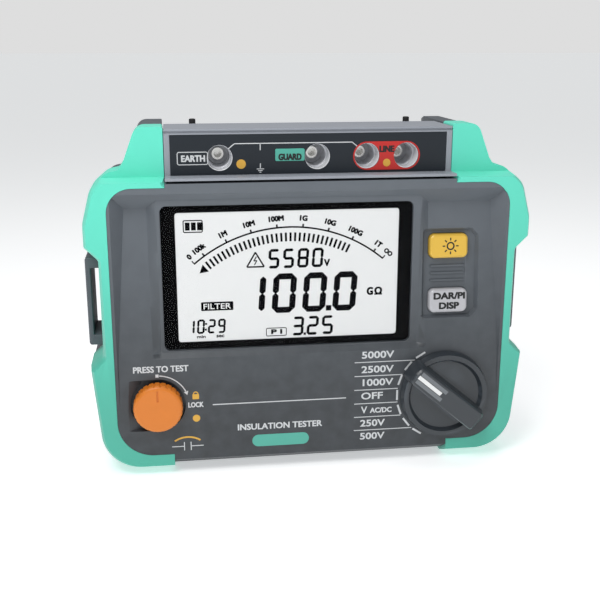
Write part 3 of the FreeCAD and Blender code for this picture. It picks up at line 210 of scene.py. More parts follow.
# Finishes: every look starts from the plain one.
glowTint = (0.96, 0.985, 1.0, 1.0)
# low is the share of colour left by the painted shade at the bottom of a piece; 1.0 paints none.
plainLook = {
    "colour": (0.5, 0.5, 0.5), "roughness": 0.45, "metal": 0.0, "coat": 0.0, "grain": 2200.0, "bump": 0.15,
    "drift": 0.04, "driftScale": 22.0, "worn": 0.15, "wornTint": 1.6, "smudge": 0.06, "low": 1.0,
    "brushed": False, "glow": 0.0, "solid": 1.0, "sheen": 0.0, "specular": 0.5,
}
looks = {
    # case_grey and bumper_teal get painted shade towards their bottoms through low.
    "case_grey": {"colour": (0.118, 0.134, 0.153), "roughness": 0.46, "bump": 0.16, "worn": 0.25,
                  "low": 0.2},
    "case_dark": {"colour": (0.085, 0.096, 0.112), "roughness": 0.5, "bump": 0.3, "worn": 0.3},
    "bumper_teal": {"colour": (0.125, 0.755, 0.575), "roughness": 0.5, "bump": 0.22, "grain": 1500.0,
                    "wornTint": 1.15, "sheen": 0.1, "low": 0.62, "smudge": 0.09},
    "terminal_grey": {"colour": (0.29, 0.31, 0.35), "roughness": 0.42, "bump": 0.16, "worn": 0.2},
    "label_dark": {"colour": (0.006, 0.011, 0.018), "roughness": 0.42, "grain": 3600.0, "bump": 0.06},
    "label_red": {"colour": (0.56, 0.022, 0.018), "roughness": 0.34, "grain": 3600.0, "bump": 0.05},
    "label_teal": {"colour": (0.085, 0.43, 0.34), "roughness": 0.34, "grain": 3600.0, "bump": 0.05},
    "socket_plastic": {"colour": (0.86, 0.87, 0.90), "roughness": 0.2, "bump": 0.03, "coat": 0.3,
                       "wornTint": 1.0},
    "contact_metal": {"colour": (0.86, 0.85, 0.82), "roughness": 0.22, "metal": 1.0, "brushed": True,
                      "bump": 0.1},
    "window_clear": {"colour": (0.02, 0.022, 0.025), "roughness": 0.05, "solid": 0.05, "smudge": 0.02,
                     "bump": 0.0, "worn": 0.0},
    "mask_black": {"colour": (0.002, 0.002, 0.0023), "roughness": 0.8, "bump": 0.03, "worn": 0.0,
                   "specular": 0.0},
    # lcd_white carries a painted glow: the display gives off light of its own, standing in for light on its
    # face; no backlight is lit.
    "lcd_white": {"colour": (0.70, 0.71, 0.71), "roughness": 0.6, "bump": 0.03, "drift": 0.012,
                  "driftScale": 14.0, "glow": 0.24},
    "diffuser_white": {"colour": (0.84, 0.84, 0.83), "roughness": 0.55},
    "holder_white": {"colour": (0.66, 0.66, 0.65), "roughness": 0.5},
    "strip_rubber": {"colour": (0.09, 0.09, 0.28), "roughness": 0.7, "grain": 4000.0, "bump": 0.3},
    "key_yellow": {"colour": (0.80, 0.50, 0.065), "roughness": 0.38, "grain": 2600.0, "bump": 0.12,
                   "coat": 0.1, "wornTint": 1.2},
    "key_silver": {"colour": (0.50, 0.50, 0.53), "roughness": 0.33, "grain": 2600.0, "bump": 0.1,
                   "coat": 0.15, "wornTint": 1.3},
    "membrane_grey": {"colour": (0.26, 0.26, 0.28), "roughness": 0.6},
    "board_green": {"colour": (0.018, 0.15, 0.055), "roughness": 0.4, "grain": 800.0, "bump": 0.1},
    "knob_orange": {"colour": (0.72, 0.205, 0.018), "roughness": 0.42, "bump": 0.14, "wornTint": 1.25,
                    "drift": 0.06, "driftScale": 60.0},
    "plunger_white": {"colour": (0.68, 0.68, 0.65), "roughness": 0.4},
    "steel": {"colour": (0.56, 0.56, 0.57), "roughness": 0.3, "metal": 1.0, "brushed": True, "bump": 0.2},
    "switch_black": {"colour": (0.018, 0.018, 0.019), "roughness": 0.5},
    "knob_grey": {"colour": (0.032, 0.039, 0.047), "roughness": 0.34, "bump": 0.08, "worn": 0.4,
                  "wornTint": 4.0, "coat": 0.15},
    # knob_facet is a lighter copy of knob_grey, laid on the grip as a painted highlight.
    "knob_facet": {"colour": (0.17, 0.185, 0.20), "roughness": 0.35, "grain": 3000.0, "bump": 0.1},
    "pointer_white": {"colour": (0.88, 0.89, 0.89), "roughness": 0.35, "bump": 0.05},
    "transformer_amber": {"colour": (0.42, 0.23, 0.045), "roughness": 0.35, "drift": 0.2,
                          "driftScale": 90.0},
    "potting_black": {"colour": (0.028, 0.028, 0.031), "roughness": 0.35, "drift": 0.2},
    "can_blue": {"colour": (0.05, 0.07, 0.2), "roughness": 0.35, "coat": 0.4},
    "cell_body": {"colour": (0.22, 0.22, 0.24), "roughness": 0.35, "metal": 1.0, "brushed": True,
                  "drift": 0.1},
    "foot_rubber": {"colour": (0.016, 0.016, 0.017), "roughness": 0.75, "grain": 1400.0, "bump": 0.35},
    "gasket_grey": {"colour": (0.06, 0.06, 0.065), "roughness": 0.75, "grain": 1400.0, "bump": 0.35},
    "print_white": {"colour": (0.62, 0.64, 0.66), "roughness": 0.5, "grain": 5200.0, "bump": 0.12,
                    "drift": 0.07, "driftScale": 500.0},
    "print_amber": {"colour": (0.72, 0.40, 0.055), "roughness": 0.5, "grain": 5200.0, "bump": 0.12,
                    "drift": 0.07, "driftScale": 500.0},
    "print_black": {"colour": (0.010, 0.011, 0.012), "roughness": 0.5, "grain": 5200.0, "bump": 0.08},
    "segment_black": {"colour": (0.003, 0.003, 0.004), "roughness": 0.8, "specular": 0.0, "bump": 0.02,
                      "worn": 0.0},
    "floor_pale": {"colour": (0.90, 0.90, 0.90), "roughness": 0.7, "grain": 260.0, "bump": 0.02,
                   "drift": 0.01, "driftScale": 2.0, "worn": 0.0, "glow": 0.5},
}


def makeFinish(name):
    look = {**plainLook, **looks[name]}
    material = bpy.data.materials.new(name)
    material.use_nodes = True
    tree = material.node_tree
    shader = tree.nodes["Principled BSDF"]
    colour = (*look["colour"], 1.0)
    worn = tuple(min(1.0, part * look["wornTint"]) for part in look["colour"]) + (1.0,)
    # Painted shade towards the bottom of the piece, set by low.
    if look["low"] < 1.0:
        colour = useEffect(tree, "paintedShade", Colour=colour, Low=look["low"])
    colour = useEffect(tree, "drift", Colour=colour, Spread=look["drift"], Scale=look["driftScale"])
    if look["worn"] > 0:
        colour = useEffect(tree, "rub", Colour=colour, Worn=worn, Amount=look["worn"])
    tree.links.new(colour, shader.inputs["Base Color"])
    roughness = useEffect(tree, "smudge", Roughness=look["roughness"], Spread=look["smudge"])
    tree.links.new(roughness, shader.inputs["Roughness"])
    if look["bump"] > 0:
        pattern = "brushing" if look["brushed"] else "grain"
        normal = useEffect(tree, pattern, Scale=look["grain"], Strength=look["bump"])
        tree.links.new(normal, shader.inputs["Normal"])
    shader.inputs["Metallic"].default_value = look["metal"]
    shader.inputs["Coat Weight"].default_value = look["coat"]
    shader.inputs["Sheen Weight"].default_value = look["sheen"]
    shader.inputs["Specular IOR Level"].default_value = look["specular"]
    shader.inputs["Alpha"].default_value = look["solid"]
    if look["glow"] > 0:
        shader.inputs["Emission Color"].default_value = glowTint
        shader.inputs["Emission Strength"].default_value = look["glow"]
    return material


finishes = {name: makeFinish(name) for name in looks}
slotOf = {entry["node"]: entry["material_slot"] for entry in frame["record"]["subparts"]}
for node, piece in frame["nodes"].items():
    for holder in piece.material_slots:
        holder.material = finishes[slotOf[node]]
print("finishes made:", len(finishes))


# How pieces are made; merging distance in metres, angles in degrees.
easing = {"merge": 2e-6, "flat": 0.15, "sharp": 32.0, "steps": 3}


def addPiece(name, shape, finish, body):
    bmesh.ops.recalc_face_normals(shape, faces=shape.faces)
    keepPiece(name, shape, finish, body, 35.0)


def keepPiece(name, shape, finish, body, smoothAngle):
    mesh = bpy.data.meshes.new(name)
    for face in shape.faces:
        face.smooth = True
    shape.to_mesh(mesh)
    shape.free()
    mesh.set_sharp_from_angle(angle=math.radians(smoothAngle))
    mesh.materials.append(finishes[finish])
    piece = bpy.data.objects.new(name, mesh)
    scene.collection.objects.link(piece)
    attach(piece, body)
    return piece


def easedCopy(node, name, edge, steps=easing["steps"], body="housing"):
    # A merged copy of a designed piece with its hard edges eased by a bevel of this size in millimetres.
    shape = bmesh.new()
    shape.from_mesh(frame["nodes"][node].data)
    bmesh.ops.remove_doubles(shape, verts=shape.verts, dist=easing["merge"])
    bmesh.ops.dissolve_limit(shape, angle_limit=math.radians(easing["flat"]), verts=shape.verts,
                             edges=shape.edges)
    piece = keepPiece(name, shape, slotOf[node], body, 40.0)
    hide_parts(node)
    soften = piece.modifiers.new("easedEdges", "BEVEL")
    soften.width = edge / 1000
    soften.segments = steps
    soften.limit_method = "ANGLE"
    soften.angle_limit = math.radians(easing["sharp"])
    soften.miter_outer = "MITER_ARC"
    flatten = piece.modifiers.new("flatFaces", "WEIGHTED_NORMAL")
    flatten.keep_sharp = True


def layOn(shape, depthAt):
    # Takes a flat drawing in millimetres onto its surface and into metres.
    for vert in shape.verts:
        x, depth, z = vert.co
        vert.co = Vector((x / 1000, rimY + (depth + depthAt(x, z)) / 1000, z / 1000))


# Printed layers: proud of the surface, sunk in it, and both together.
ink = {"rise": 0.05, "sink": 0.05, "thick": 0.1}
upright = math.radians(90)


def drawBar(draw, start, end, width, point=0.0):
    dx, dz = end[0] - start[0], end[1] - start[1]
    length = math.hypot(dx, dz)
    made = bmesh.ops.create_cube(draw, size=1.0)["verts"]
    bmesh.ops.scale(draw, vec=(length, ink["thick"], width), verts=made)
    if point > 0:
        edges = {edge for vert in made for edge in vert.link_edges}
        ends = [edge for edge in edges if abs(edge.verts[0].co.y - edge.verts[1].co.y) > ink["thick"] / 2]
        cut = bmesh.ops.bevel(draw, geom=ends, offset=width * point, segments=1, affect="EDGES",
                              profile=0.5, material=-1)
        made = list({vert for face in cut["faces"] for vert in face.verts} | {v for v in made if v.is_valid})
    turn = Matrix.Rotation(-math.atan2(dz, dx), 4, "Y")
    middle = Vector(((start[0] + end[0]) / 2, 0, (start[1] + end[1]) / 2))
    bmesh.ops.transform(draw, matrix=Matrix.Translation(middle) @ turn, verts=made)
    return made


def drawPath(draw, corners, width):
    for start, end in zip(corners, corners[1:]):
        drawBar(draw, start, end, width)


def drawPlate(draw, x0, x1, z0, z1, corner):
    # A filled plate with rounded corners.
    made = bmesh.ops.create_grid(draw, x_segments=1, y_segments=1, size=0.5)["verts"]
    bmesh.ops.rotate(draw, verts=made, cent=(0, 0, 0), matrix=Matrix.Rotation(upright, 3, "X"))
    bmesh.ops.scale(draw, vec=(x1 - x0, 1, z1 - z0), verts=made)
    bmesh.ops.translate(draw, vec=((x0 + x1) / 2, ink["sink"], (z0 + z1) / 2), verts=made)
    cut = bmesh.ops.bevel(draw, geom=made, offset=corner, segments=5, affect="VERTICES", profile=0.5,
                          material=-1)
    faces = list({face for vert in cut["verts"] for face in vert.link_faces})
    raised = bmesh.ops.extrude_face_region(draw, geom=faces)["geom"]
    lifted = [part for part in raised if isinstance(part, bmesh.types.BMVert)]
    bmesh.ops.translate(draw, vec=(0, -ink["thick"], 0), verts=lifted)


def drawDisc(draw, x, z, radius, segments=32, turn=0.0):
    made = bmesh.ops.create_cone(draw, cap_ends=True, segments=segments, radius1=radius, radius2=radius,
                                 depth=ink["thick"],
                                 matrix=Matrix.Rotation(math.radians(turn), 4, "Z"))["verts"]
    bmesh.ops.rotate(draw, verts=made, cent=(0, 0, 0), matrix=Matrix.Rotation(upright, 3, "X"))
    bmesh.ops.translate(draw, vec=(x, 0, z), verts=made)


def drawArc(draw, x, z, radius, width, fromTop, sweep, steps=48):
    # A band round (x, z); angles run clockwise from straight up, in degrees.
    made = bmesh.ops.create_grid(draw, x_segments=1, y_segments=1, size=0.5)["verts"]
    bmesh.ops.rotate(draw, verts=made, cent=(0, 0, 0), matrix=Matrix.Rotation(upright, 3, "Y"))
    bmesh.ops.scale(draw, vec=(1, ink["thick"], width), verts=made)
    bmesh.ops.translate(draw, vec=(x, 0, z + radius), verts=made)
    bmesh.ops.rotate(draw, verts=made, cent=(x, 0, z),
                     matrix=Matrix.Rotation(math.radians(fromTop), 3, "Y"))
    faces = list({face for vert in made for face in vert.link_faces})
    edges = list({edge for vert in made for edge in vert.link_edges})
    bmesh.ops.spin(draw, geom=made + edges + faces, cent=(x, 0, z), axis=(0, 1, 0),
                   angle=math.radians(sweep), steps=steps, use_merge=abs(sweep) >= 360)
    if abs(sweep) >= 360:
        bmesh.ops.delete(draw, geom=[f for f in faces if f.is_valid], context="FACES_ONLY")


def drawFrame(draw, x0, x1, z0, z1, corner, line):
    # The outline of a rounded plate.
    c = corner
    for z in (z0, z1):
        drawBar(draw, (x0 + c, z), (x1 - c, z), line)
    for x in (x0, x1):
        drawBar(draw, (x, z0 + c), (x, z1 - c), line)
    turns = ((x1 - c, z1 - c, 0), (x1 - c, z0 + c, 90), (x0 + c, z0 + c, 180), (x0 + c, z1 - c, 270))
    for x, z, start in turns:
        drawArc(draw, x, z, c, line, start, 90.0, steps=6)


def drawWords(draw, words, x0, base, cap, x1=None, weight=0.2, turn=0.0, centred=False):
    # Lettering with a given cap height; x1 stretches or squeezes it to a width, weight thickens its strokes.
    curve = bpy.data.curves.new("words", "FONT")
    curve.body = words
    curve.extrude = 0.5
    curve.resolution_u = 3
    holder = bpy.data.objects.new("words", curve)
    scene.collection.objects.link(holder)
    bpy.context.view_layer.update()
    evaluated = holder.evaluated_get(bpy.context.evaluated_depsgraph_get())
    mesh = bpy.data.meshes.new_from_object(evaluated)
    bpy.data.objects.remove(holder)
    letters = bmesh.new()
    letters.from_mesh(mesh)
    bpy.data.meshes.remove(mesh)
    bmesh.ops.remove_doubles(letters, verts=letters.verts, dist=1e-5)
    xs = [vert.co.x for vert in letters.verts]
    ys = [vert.co.y for vert in letters.verts]
    scaleZ = (cap - weight) / (max(ys) - min(ys))
    scaleX = scaleZ if x1 is None else (x1 - x0 - weight) / (max(xs) - min(xs))
    middle = (max(xs) + min(xs)) / 2 if centred else min(xs)
    spin = Matrix.Rotation(math.radians(turn), 4, "Y")
    side = 0.0 if centred else weight / 2
    low = min(ys)
    for vert in letters.verts:
        x, rise, z = vert.co.x, vert.co.z, vert.co.y
        here = Vector(((x - middle) * scaleX + side, -rise * ink["thick"], (z - low) * scaleZ))
        vert.co = spin @ here + Vector((x0, 0, base + weight / 2))
    mesh = bpy.data.meshes.new("letters")
    letters.to_mesh(mesh)
    letters.free()
    for i, turnBy in enumerate((45, 135, 225, 315, 0, 180)):
        a = math.radians(turnBy)
        before = len(draw.verts)
        draw.from_mesh(mesh)
        draw.verts.ensure_lookup_table()
        shift = Vector((math.cos(a) * weight / 2, 0.001 * i, math.sin(a) * weight / 2))
        bmesh.ops.translate(draw, vec=shift, verts=draw.verts[before:])
    bpy.data.meshes.remove(mesh)


segmentsOf = {
    "0": "abcdef", "1": "bc", "2": "abged", "3": "abgcd", "5": "afgcd", "8": "abcdefg", "9": "abcdfg",
}


def drawDigits(draw, digits, x0, base, width, height, stroke, gap, lean=0.07):
    # Seven-segment figures with pointed bars and a slight lean.
    x = x0
    dot = stroke * 0.45
    for digit in digits:
        if digit in ".:":
            dots = [stroke * 0.55] if digit == "." else [height * 0.28, height * 0.68]
            for rise in dots:
                middle = x - gap * 0.5 + rise * lean
                drawBar(draw, (middle - dot, base + rise), (middle + dot, base + rise), dot * 2)
            x += gap * 0.35 if digit == ":" else 0.0
            continue
        half = stroke / 2
        left, right = x + half, x + width - half
        low, mid, high = base + half, base + height / 2, base + height - half
        tip = stroke * 0.12
        runs = {
            "a": ((left + tip, high), (right - tip, high)), "g": ((left + tip, mid), (right - tip, mid)),
            "d": ((left + tip, low), (right - tip, low)),
            "b": ((right, high - tip), (right, mid + tip)), "c": ((right, mid - tip), (right, low + tip)),
            "f": ((left, high - tip), (left, mid + tip)), "e": ((left, mid - tip), (left, low + tip)),
        }
        for name in segmentsOf[digit]:
            start, end = Vector(runs[name][0]), Vector(runs[name][1])
            reach = (end - start).normalized() * half * 0.32
            made = drawBar(draw, start - reach, end + reach, stroke, point=0.42)
            for vert in made:
                vert.co.x += (vert.co.z - base) * lean
        x += width + gap


# Copies of the designed pieces with their edges eased, in millimetres.
easedPieces = {
    "front_case": ("frontShell", 0.55), "rear_case": ("rearShell", 0.8), "bumper_left": ("leftBumper", 1.1),
    "bumper_right": ("rightBumper", 1.1), "strap_bar_left": ("leftStrapBar", 0.6),
    "strap_bar_right": ("rightStrapBar", 0.6), "terminal_housing": ("terminalHousing", 0.5),
    "earth_socket": ("earthSocket", 0.25), "guard_socket": ("guardSocket", 0.25),
    "line_left_socket": ("lineSocketLeft", 0.25), "line_right_socket": ("lineSocketRight", 0.25),
    "rear_feet": ("rearFeet", 0.4), "line_label": ("redSocketPlate", 0.1), "guard_label": ("guardPlate", 0.1),
}
for node, (name, edge) in easedPieces.items():
    easedCopy(node, name, edge)
easedCopy("battery_cover", "batteryCover", 0.5, body="battery_door")
easedCopy("cover_screws", "coverScrews", 0.15, steps=2, body="battery_door")
easedCopy("test_knob", "testKnob", 0.45, body="test_knob_body")
easedCopy("range_knob", "rangeKnob", 0.7, body="range_selector")
easedCopy("range_pointer", "rangePointer", 0.15, body="range_selector")
easedCopy("backlight_button", "backlightKey", 0.5, body="backlight_key")
easedCopy("display_button", "displayKey", 0.5, body="display_key")
print("eased pieces made")

# Printing on the front panel.
panel = {"stepZ": 62.4, "stepDepth": 0.8, "flatZ": 36.0}


def panelDepth(x, z):
    share = (z - panel["flatZ"]) / (panel["stepZ"] - panel["flatZ"])
    return panel["stepDepth"] * max(0.0, min(1.0, share))


dial = {
    "x": 69.3, "z": 37.2, "markRadius": 24.9, "markLength": 5.6, "markWidth": 1.0,
    "angles": (121.0, 140.6, 160.4, 179.7, 198.8, 217.8, 236.7),
    "rows": (
        ("5000V", 25.4, 42.4, 57.9), ("2500V", 25.3, 42.3, 50.1), ("1000V", 26.0, 42.2, 43.0),
        ("OFF", 25.3, 36.8, 35.7), ("250V", 25.0, 38.2, 20.5), ("500V", 25.0, 38.2, 13.2),
    ),
    "capHeight": 3.9, "weight": 0.3,
    "voltage": (("V", 25.3, 28.0, 3.9, 28.6, 0.2), ("AC/DC", 30.1, 28.0, 3.0, 41.7, 0.3)),
    "lines": ((56.0, 53.5), (48.5, 47.0), (41.0, 44.7), (33.45, 44.7), (26.0, 46.5), (18.6, 52.6)),
    "lineLeft": 21.7, "lineWidth": 0.42,
}


def printDial():
    draw = bmesh.new()
    for angle in dial["angles"]:
        a = math.radians(angle)
        x = dial["x"] + dial["markRadius"] * math.cos(a)
        z = dial["z"] + dial["markRadius"] * math.sin(a)
        dx, dz = -math.sin(a) * dial["markLength"] / 2, math.cos(a) * dial["markLength"] / 2
        drawBar(draw, (x - dx, z - dz), (x + dx, z + dz), dial["markWidth"])
    for words, x0, x1, base in dial["rows"]:
        drawWords(draw, words, x0, base, dial["capHeight"], x1, dial["weight"])
    for row in dial["voltage"]:
        drawWords(draw, *row)
    for z, x1 in dial["lines"]:
        drawBar(draw, (dial["lineLeft"], z), (x1, z), dial["lineWidth"])
    layOn(draw, panelDepth)
    addPiece("dialPrint", draw, "print_white", "housing")


# Rows of lettering: words, left, base, cap height, right, weight of the strokes.
testPrint = {
    "x": -79.0, "z": 38.2, "arcRadius": 15.6, "arcWidth": 0.55, "sweep": 68.0, "arcGap": 4.0,
    "startMark": 1.6, "arrow": 1.35, "arrowTurn": 197.0,
    "words": (
        ("PRESS TO TEST", -90.7, 55.6, 3.4, -63.2, 0.3), ("LOCK", -64.0, 36.2, 2.9, -56.2, 0.3),
        ("INSULATION TESTER", -39.1, 22.2, 3.5, 4.8, 0.3),
    ),
    "rule": ((-51.6, 37.2), (17.3, 37.2)), "ruleWidth": 0.5,
}
capacitor = {
    "x": -64.9, "z": 15.2, "line": 0.45, "leads": ((-72.9, -66.6), (-63.2, -56.8)), "plateOut": 1.7,
    "plateHalf": 2.3, "arcZ": 8.6, "arcRadius": 11.6, "arcWidth": 0.9, "sweep": 68.0,
}
lock = {
    "box": (-61.7, -58.4, 40.6, 43.3), "corner": 0.3, "shackle": (-60.05, 43.3, 1.15, 0.5),
    "dot": (-60.0, 30.3, 1.9),
}
blankPlate = {"box": (-31.7, -2.1, 12.8, 19.3), "corner": 3.2}


def drawTurnArrow(draw):
    x, z, r = testPrint["x"], testPrint["z"], testPrint["arcRadius"]
    gap, mark = testPrint["arcGap"], testPrint["startMark"]
    drawBar(draw, (x - mark / 2, z + r), (x + mark / 2, z + r), mark)
    drawArc(draw, x, z, r, testPrint["arcWidth"], gap, testPrint["sweep"] - 2 * gap)
    end = math.radians(91.0 - testPrint["sweep"])
    drawDisc(draw, x + r * math.cos(end), z + r * math.sin(end), testPrint["arrow"], segments=3,
             turn=testPrint["arrowTurn"])


def drawCapacitor(draw):
    x, z = capacitor["x"], capacitor["z"]
    for x0, x1 in capacitor["leads"]:
        drawBar(draw, (x0, z), (x1, z), capacitor["line"])
    for side in (-1, 1):
        plateX, half = x + side * capacitor["plateOut"], capacitor["plateHalf"]
        drawBar(draw, (plateX, z - half), (plateX, z + half), capacitor["line"])


def printTestLegend():
    draw = bmesh.new()
    for row in testPrint["words"]:
        drawWords(draw, *row)
    drawTurnArrow(draw)
    drawPath(draw, testPrint["rule"], testPrint["ruleWidth"])
    drawCapacitor(draw)
    layOn(draw, panelDepth)
    addPiece("testPrint", draw, "print_white", "housing")
    amber = bmesh.new()
    drawPlate(amber, *lock["box"], lock["corner"])
    drawArc(amber, *lock["shackle"], -90.0, 180.0, steps=12)
    drawDisc(amber, *lock["dot"])
    drawArc(amber, capacitor["x"], capacitor["arcZ"], capacitor["arcRadius"], capacitor["arcWidth"],
            -capacitor["sweep"] / 2, capacitor["sweep"])
    layOn(amber, panelDepth)
    addPiece("lockPrint", amber, "print_amber", "housing")
    pill = bmesh.new()
    drawPlate(pill, *blankPlate["box"], blankPlate["corner"])
    layOn(pill, panelDepth)
    addPiece("blankPlate", pill, "label_teal", "housing")


printDial()
printTestLegend()
print("panel printed")

# Printing on the terminal label.
label = {
    "plane": 10.72, "platePlane": 10.35, "line": 0.45,
    "earthFrame": (-65.1, -50.5, 157.7, 163.7), "frameCorner": 0.9, "frameLine": 0.4,
    "earthWord": ("EARTH", -63.3, 159.0, 3.3, -51.7, 0.4),
    "link": ((-40.3, 165.2), (-37.4, 167.5), (20.6, 167.5), (23.4, 165.3)),
    "groundX": -24.9, "groundStems": ((167.5, 164.2), (157.8, 155.0)),
    "groundBars": ((3.6, 155.1), (2.2, 154.3), (0.9, 153.5)), "groundLine": 0.4,
    "earthDot": (-34.3, 157.6, 2.3), "redPlateDot": (38.2, 157.2, 1.9),
    "plateWords": (("GUARD", -16.1, 159.1, 3.4, -4.5, 0.5), ("LINE", 34.3, 162.3, 3.4, 42.0, 0.5)),
}


def printTerminals():
    draw = bmesh.new()
    drawFrame(draw, *label["earthFrame"], label["frameCorner"], label["frameLine"])
    drawWords(draw, *label["earthWord"])
    drawPath(draw, label["link"], label["line"])
    x = label["groundX"]
    for high, low in label["groundStems"]:
        drawBar(draw, (x, high), (x, low), label["line"])
    for width, z in label["groundBars"]:
        drawBar(draw, (x - width / 2, z), (x + width / 2, z), label["groundLine"])
    layOn(draw, lambda x, z: label["plane"])
    addPiece("terminalPrint", draw, "print_white", "housing")
    amber = bmesh.new()
    drawDisc(amber, *label["earthDot"])
    layOn(amber, lambda x, z: label["plane"])
    addPiece("terminalDot", amber, "print_amber", "housing")
    plates = bmesh.new()
    for row in label["plateWords"]:
        drawWords(plates, *row)
    layOn(plates, lambda x, z: label["platePlane"])
    addPiece("plateWords", plates, "print_black", "housing")
    dot = bmesh.new()
    drawDisc(dot, *label["redPlateDot"])
    layOn(dot, lambda x, z: label["platePlane"])
    addPiece("redPlateDot", dot, "print_amber", "housing")


printTerminals()
print("terminal label printed")

# Figures and scale of the display.
display = {
    "plane": 5.32, "arcX": -11.25, "arcZ": 53.45, "arcRadius": 73.45, "arcEnd": 40.1, "arcWidth": 0.8,
    "firstTick": -35.2, "tickStep": 10.1, "tickLength": 1.7, "tickWidth": 0.85,
    "endTickIn": 0.3, "endTickOut": 1.9, "endTickWidth": 0.6, "endTurn": 0.2,
    "barInner": 66.3, "barOuter": 70.7, "firstBar": -36.2, "lastBar": 25.4, "barCount": 33, "barWidth": 1.05,
    "scale": ("100k", "1M", "10M", "100M", "1G", "10G", "100G", "1T"),
    "wordsOut": 3.1, "zeroOut": 2.9, "wordHeight": 3.0, "wordWeight": 0.5,
    "loopsOut": 4.2, "loopApart": 0.85, "loopRadius": 0.95, "loopLine": 0.7,
    "arrowRadius": 68.2, "arrowAngle": -38.9, "arrowSize": 2.7, "arrowTurn": 130.0,
}


def onArc(radius, angle):
    a = math.radians(angle)
    return (display["arcX"] + radius * math.sin(a), display["arcZ"] + radius * math.cos(a))


def drawScaleWord(draw, words, out, angle, turn):
    x, z = onArc(display["arcRadius"] + out, angle)
    drawWords(draw, words, x, z, display["wordHeight"], None, display["wordWeight"], turn, True)


def drawScale(draw):
    r = display["arcRadius"]
    end = display["arcEnd"]
    drawArc(draw, display["arcX"], display["arcZ"], r, display["arcWidth"], -end, 2 * end, steps=72)
    for side in (-1, 1):
        inner = onArc(r - display["endTickIn"], side * end)
        outer = onArc(r + display["endTickOut"], side * end)
        drawBar(draw, inner, outer, display["endTickWidth"])
    for i, words in enumerate(display["scale"]):
        angle = display["firstTick"] + display["tickStep"] * i
        drawBar(draw, onArc(r, angle), onArc(r + display["tickLength"], angle), display["tickWidth"])
        drawScaleWord(draw, words, display["wordsOut"], angle, angle)
    drawScaleWord(draw, "0", display["zeroOut"], -end + display["endTurn"], -end)
    for side in (-1, 1):
        x, z = onArc(r + display["loopsOut"], end + display["endTurn"] + side * display["loopApart"])
        drawArc(draw, x, z, display["loopRadius"], display["loopLine"], 0.0, 360.0, steps=16)


def drawBarGraph(draw):
    step = (display["lastBar"] - display["firstBar"]) / (display["barCount"] - 1)
    for i in range(display["barCount"]):
        angle = display["firstBar"] + step * i
        drawBar(draw, onArc(display["barInner"], angle), onArc(display["barOuter"], angle),
                display["barWidth"])
    x, z = onArc(display["arrowRadius"], display["arrowAngle"])
    drawDisc(draw, x, z, display["arrowSize"], segments=3, turn=display["arrowTurn"])


# Digits: left, base, width, height, stroke, gap. Frames and plates: left, right, low, high, corner, line.
figures = {
    "digits": (
        ("5580", -22.3, 106.1, 5.6, 9.9, 1.4, 1.75), ("100.0", -36.2, 82.9, 11.9, 20.5, 3.1, 3.6),
        ("10:29", -63.4, 73.5, 3.8, 7.5, 1.05, 1.2), ("3.25", -10.4, 70.6, 5.9, 10.0, 1.4, 1.7),
    ),
    "words": (
        ("V", 6.0, 106.3, 3.9, 9.2, 0.5), ("G", 28.2, 90.5, 4.4, 31.6, 0.65),
        ("Ω", 32.2, 90.5, 4.4, 36.3, 0.6), ("min", -58.4, 71.2, 1.5, -54.0, 0.2),
        ("sec", -48.6, 71.2, 1.4, -44.6, 0.2), ("P I", -20.9, 71.7, 2.7, -15.2, 0.5),
    ),
    "frames": ((-63.4, -54.2, 125.5, 131.3, 0.6, 0.5), (-23.3, -13.1, 70.9, 75.0, 0.7, 0.4)),
    "triangle": ((-28.4, 114.6), (-32.7, 107.2), (-24.1, 107.2), (-28.4, 114.6)), "triangleLine": 0.75,
    "bolt": ((-27.9, 112.4), (-29.2, 110.2), (-27.7, 110.4), (-28.9, 108.2)), "boltLine": 0.5,
    "filterPlate": (-55.9, -39.8, 85.4, 89.9, 0.5), "filterWord": ("FILTER", -54.7, 86.2, 2.9, -41.0, 0.12),
    "wordRise": 0.07,
}
battery = {"z": 128.4, "left": -62.6, "step": 2.95, "length": 2.3, "height": 3.9, "cap": (-54.9, -53.8, 3.2)}


def drawBattery(draw):
    z = battery["z"]
    x0, x1, capHeight = battery["cap"]
    drawBar(draw, (x0, z), (x1, z), capHeight)
    for i in range(3):
        left = battery["left"] + i * battery["step"]
        drawBar(draw, (left, z), (left + battery["length"], z), battery["height"])


def printDisplay():
    draw = bmesh.new()
    drawBattery(draw)
    drawScale(draw)
    drawBarGraph(draw)
    for row in figures["digits"]:
        drawDigits(draw, *row)
    for row in figures["words"]:
        drawWords(draw, *row)
    for row in figures["frames"]:
        drawFrame(draw, *row)
    drawPlate(draw, *figures["filterPlate"])
    drawPath(draw, figures["triangle"], figures["triangleLine"])
    drawPath(draw, figures["bolt"], figures["boltLine"])
    layOn(draw, lambda x, z: display["plane"])
    addPiece("displayFigures", draw, "segment_black", "housing")
    clear = bmesh.new()
    drawWords(clear, *figures["filterWord"])
    layOn(clear, lambda x, z: display["plane"] - figures["wordRise"])
    addPiece("filterWord", clear, "lcd_white", "housing")


printDisplay()
print("display drawn")

# Marks on the two keys.
keys = {
    "rampFoot": 62.4, "rampDepth": 0.8, "slope": 0.09043, "proud": 0.9,
    "sunX": 71.2, "sunZ": 115.05, "sunRadius": 1.75, "sunLine": 0.75,
    "rays": 8, "rayInner": 2.8, "rayOuter": 4.2, "rayWidth": 0.65,
    "words": (("DAR/PI", 62.6, 87.55, 3.8, 79.3, 0.6), ("DISP", 65.5, 82.45, 3.8, 76.3, 0.6)),
}


def keyFace(x, z):
    return keys["rampDepth"] + (z - keys["rampFoot"]) * keys["slope"] - keys["proud"]


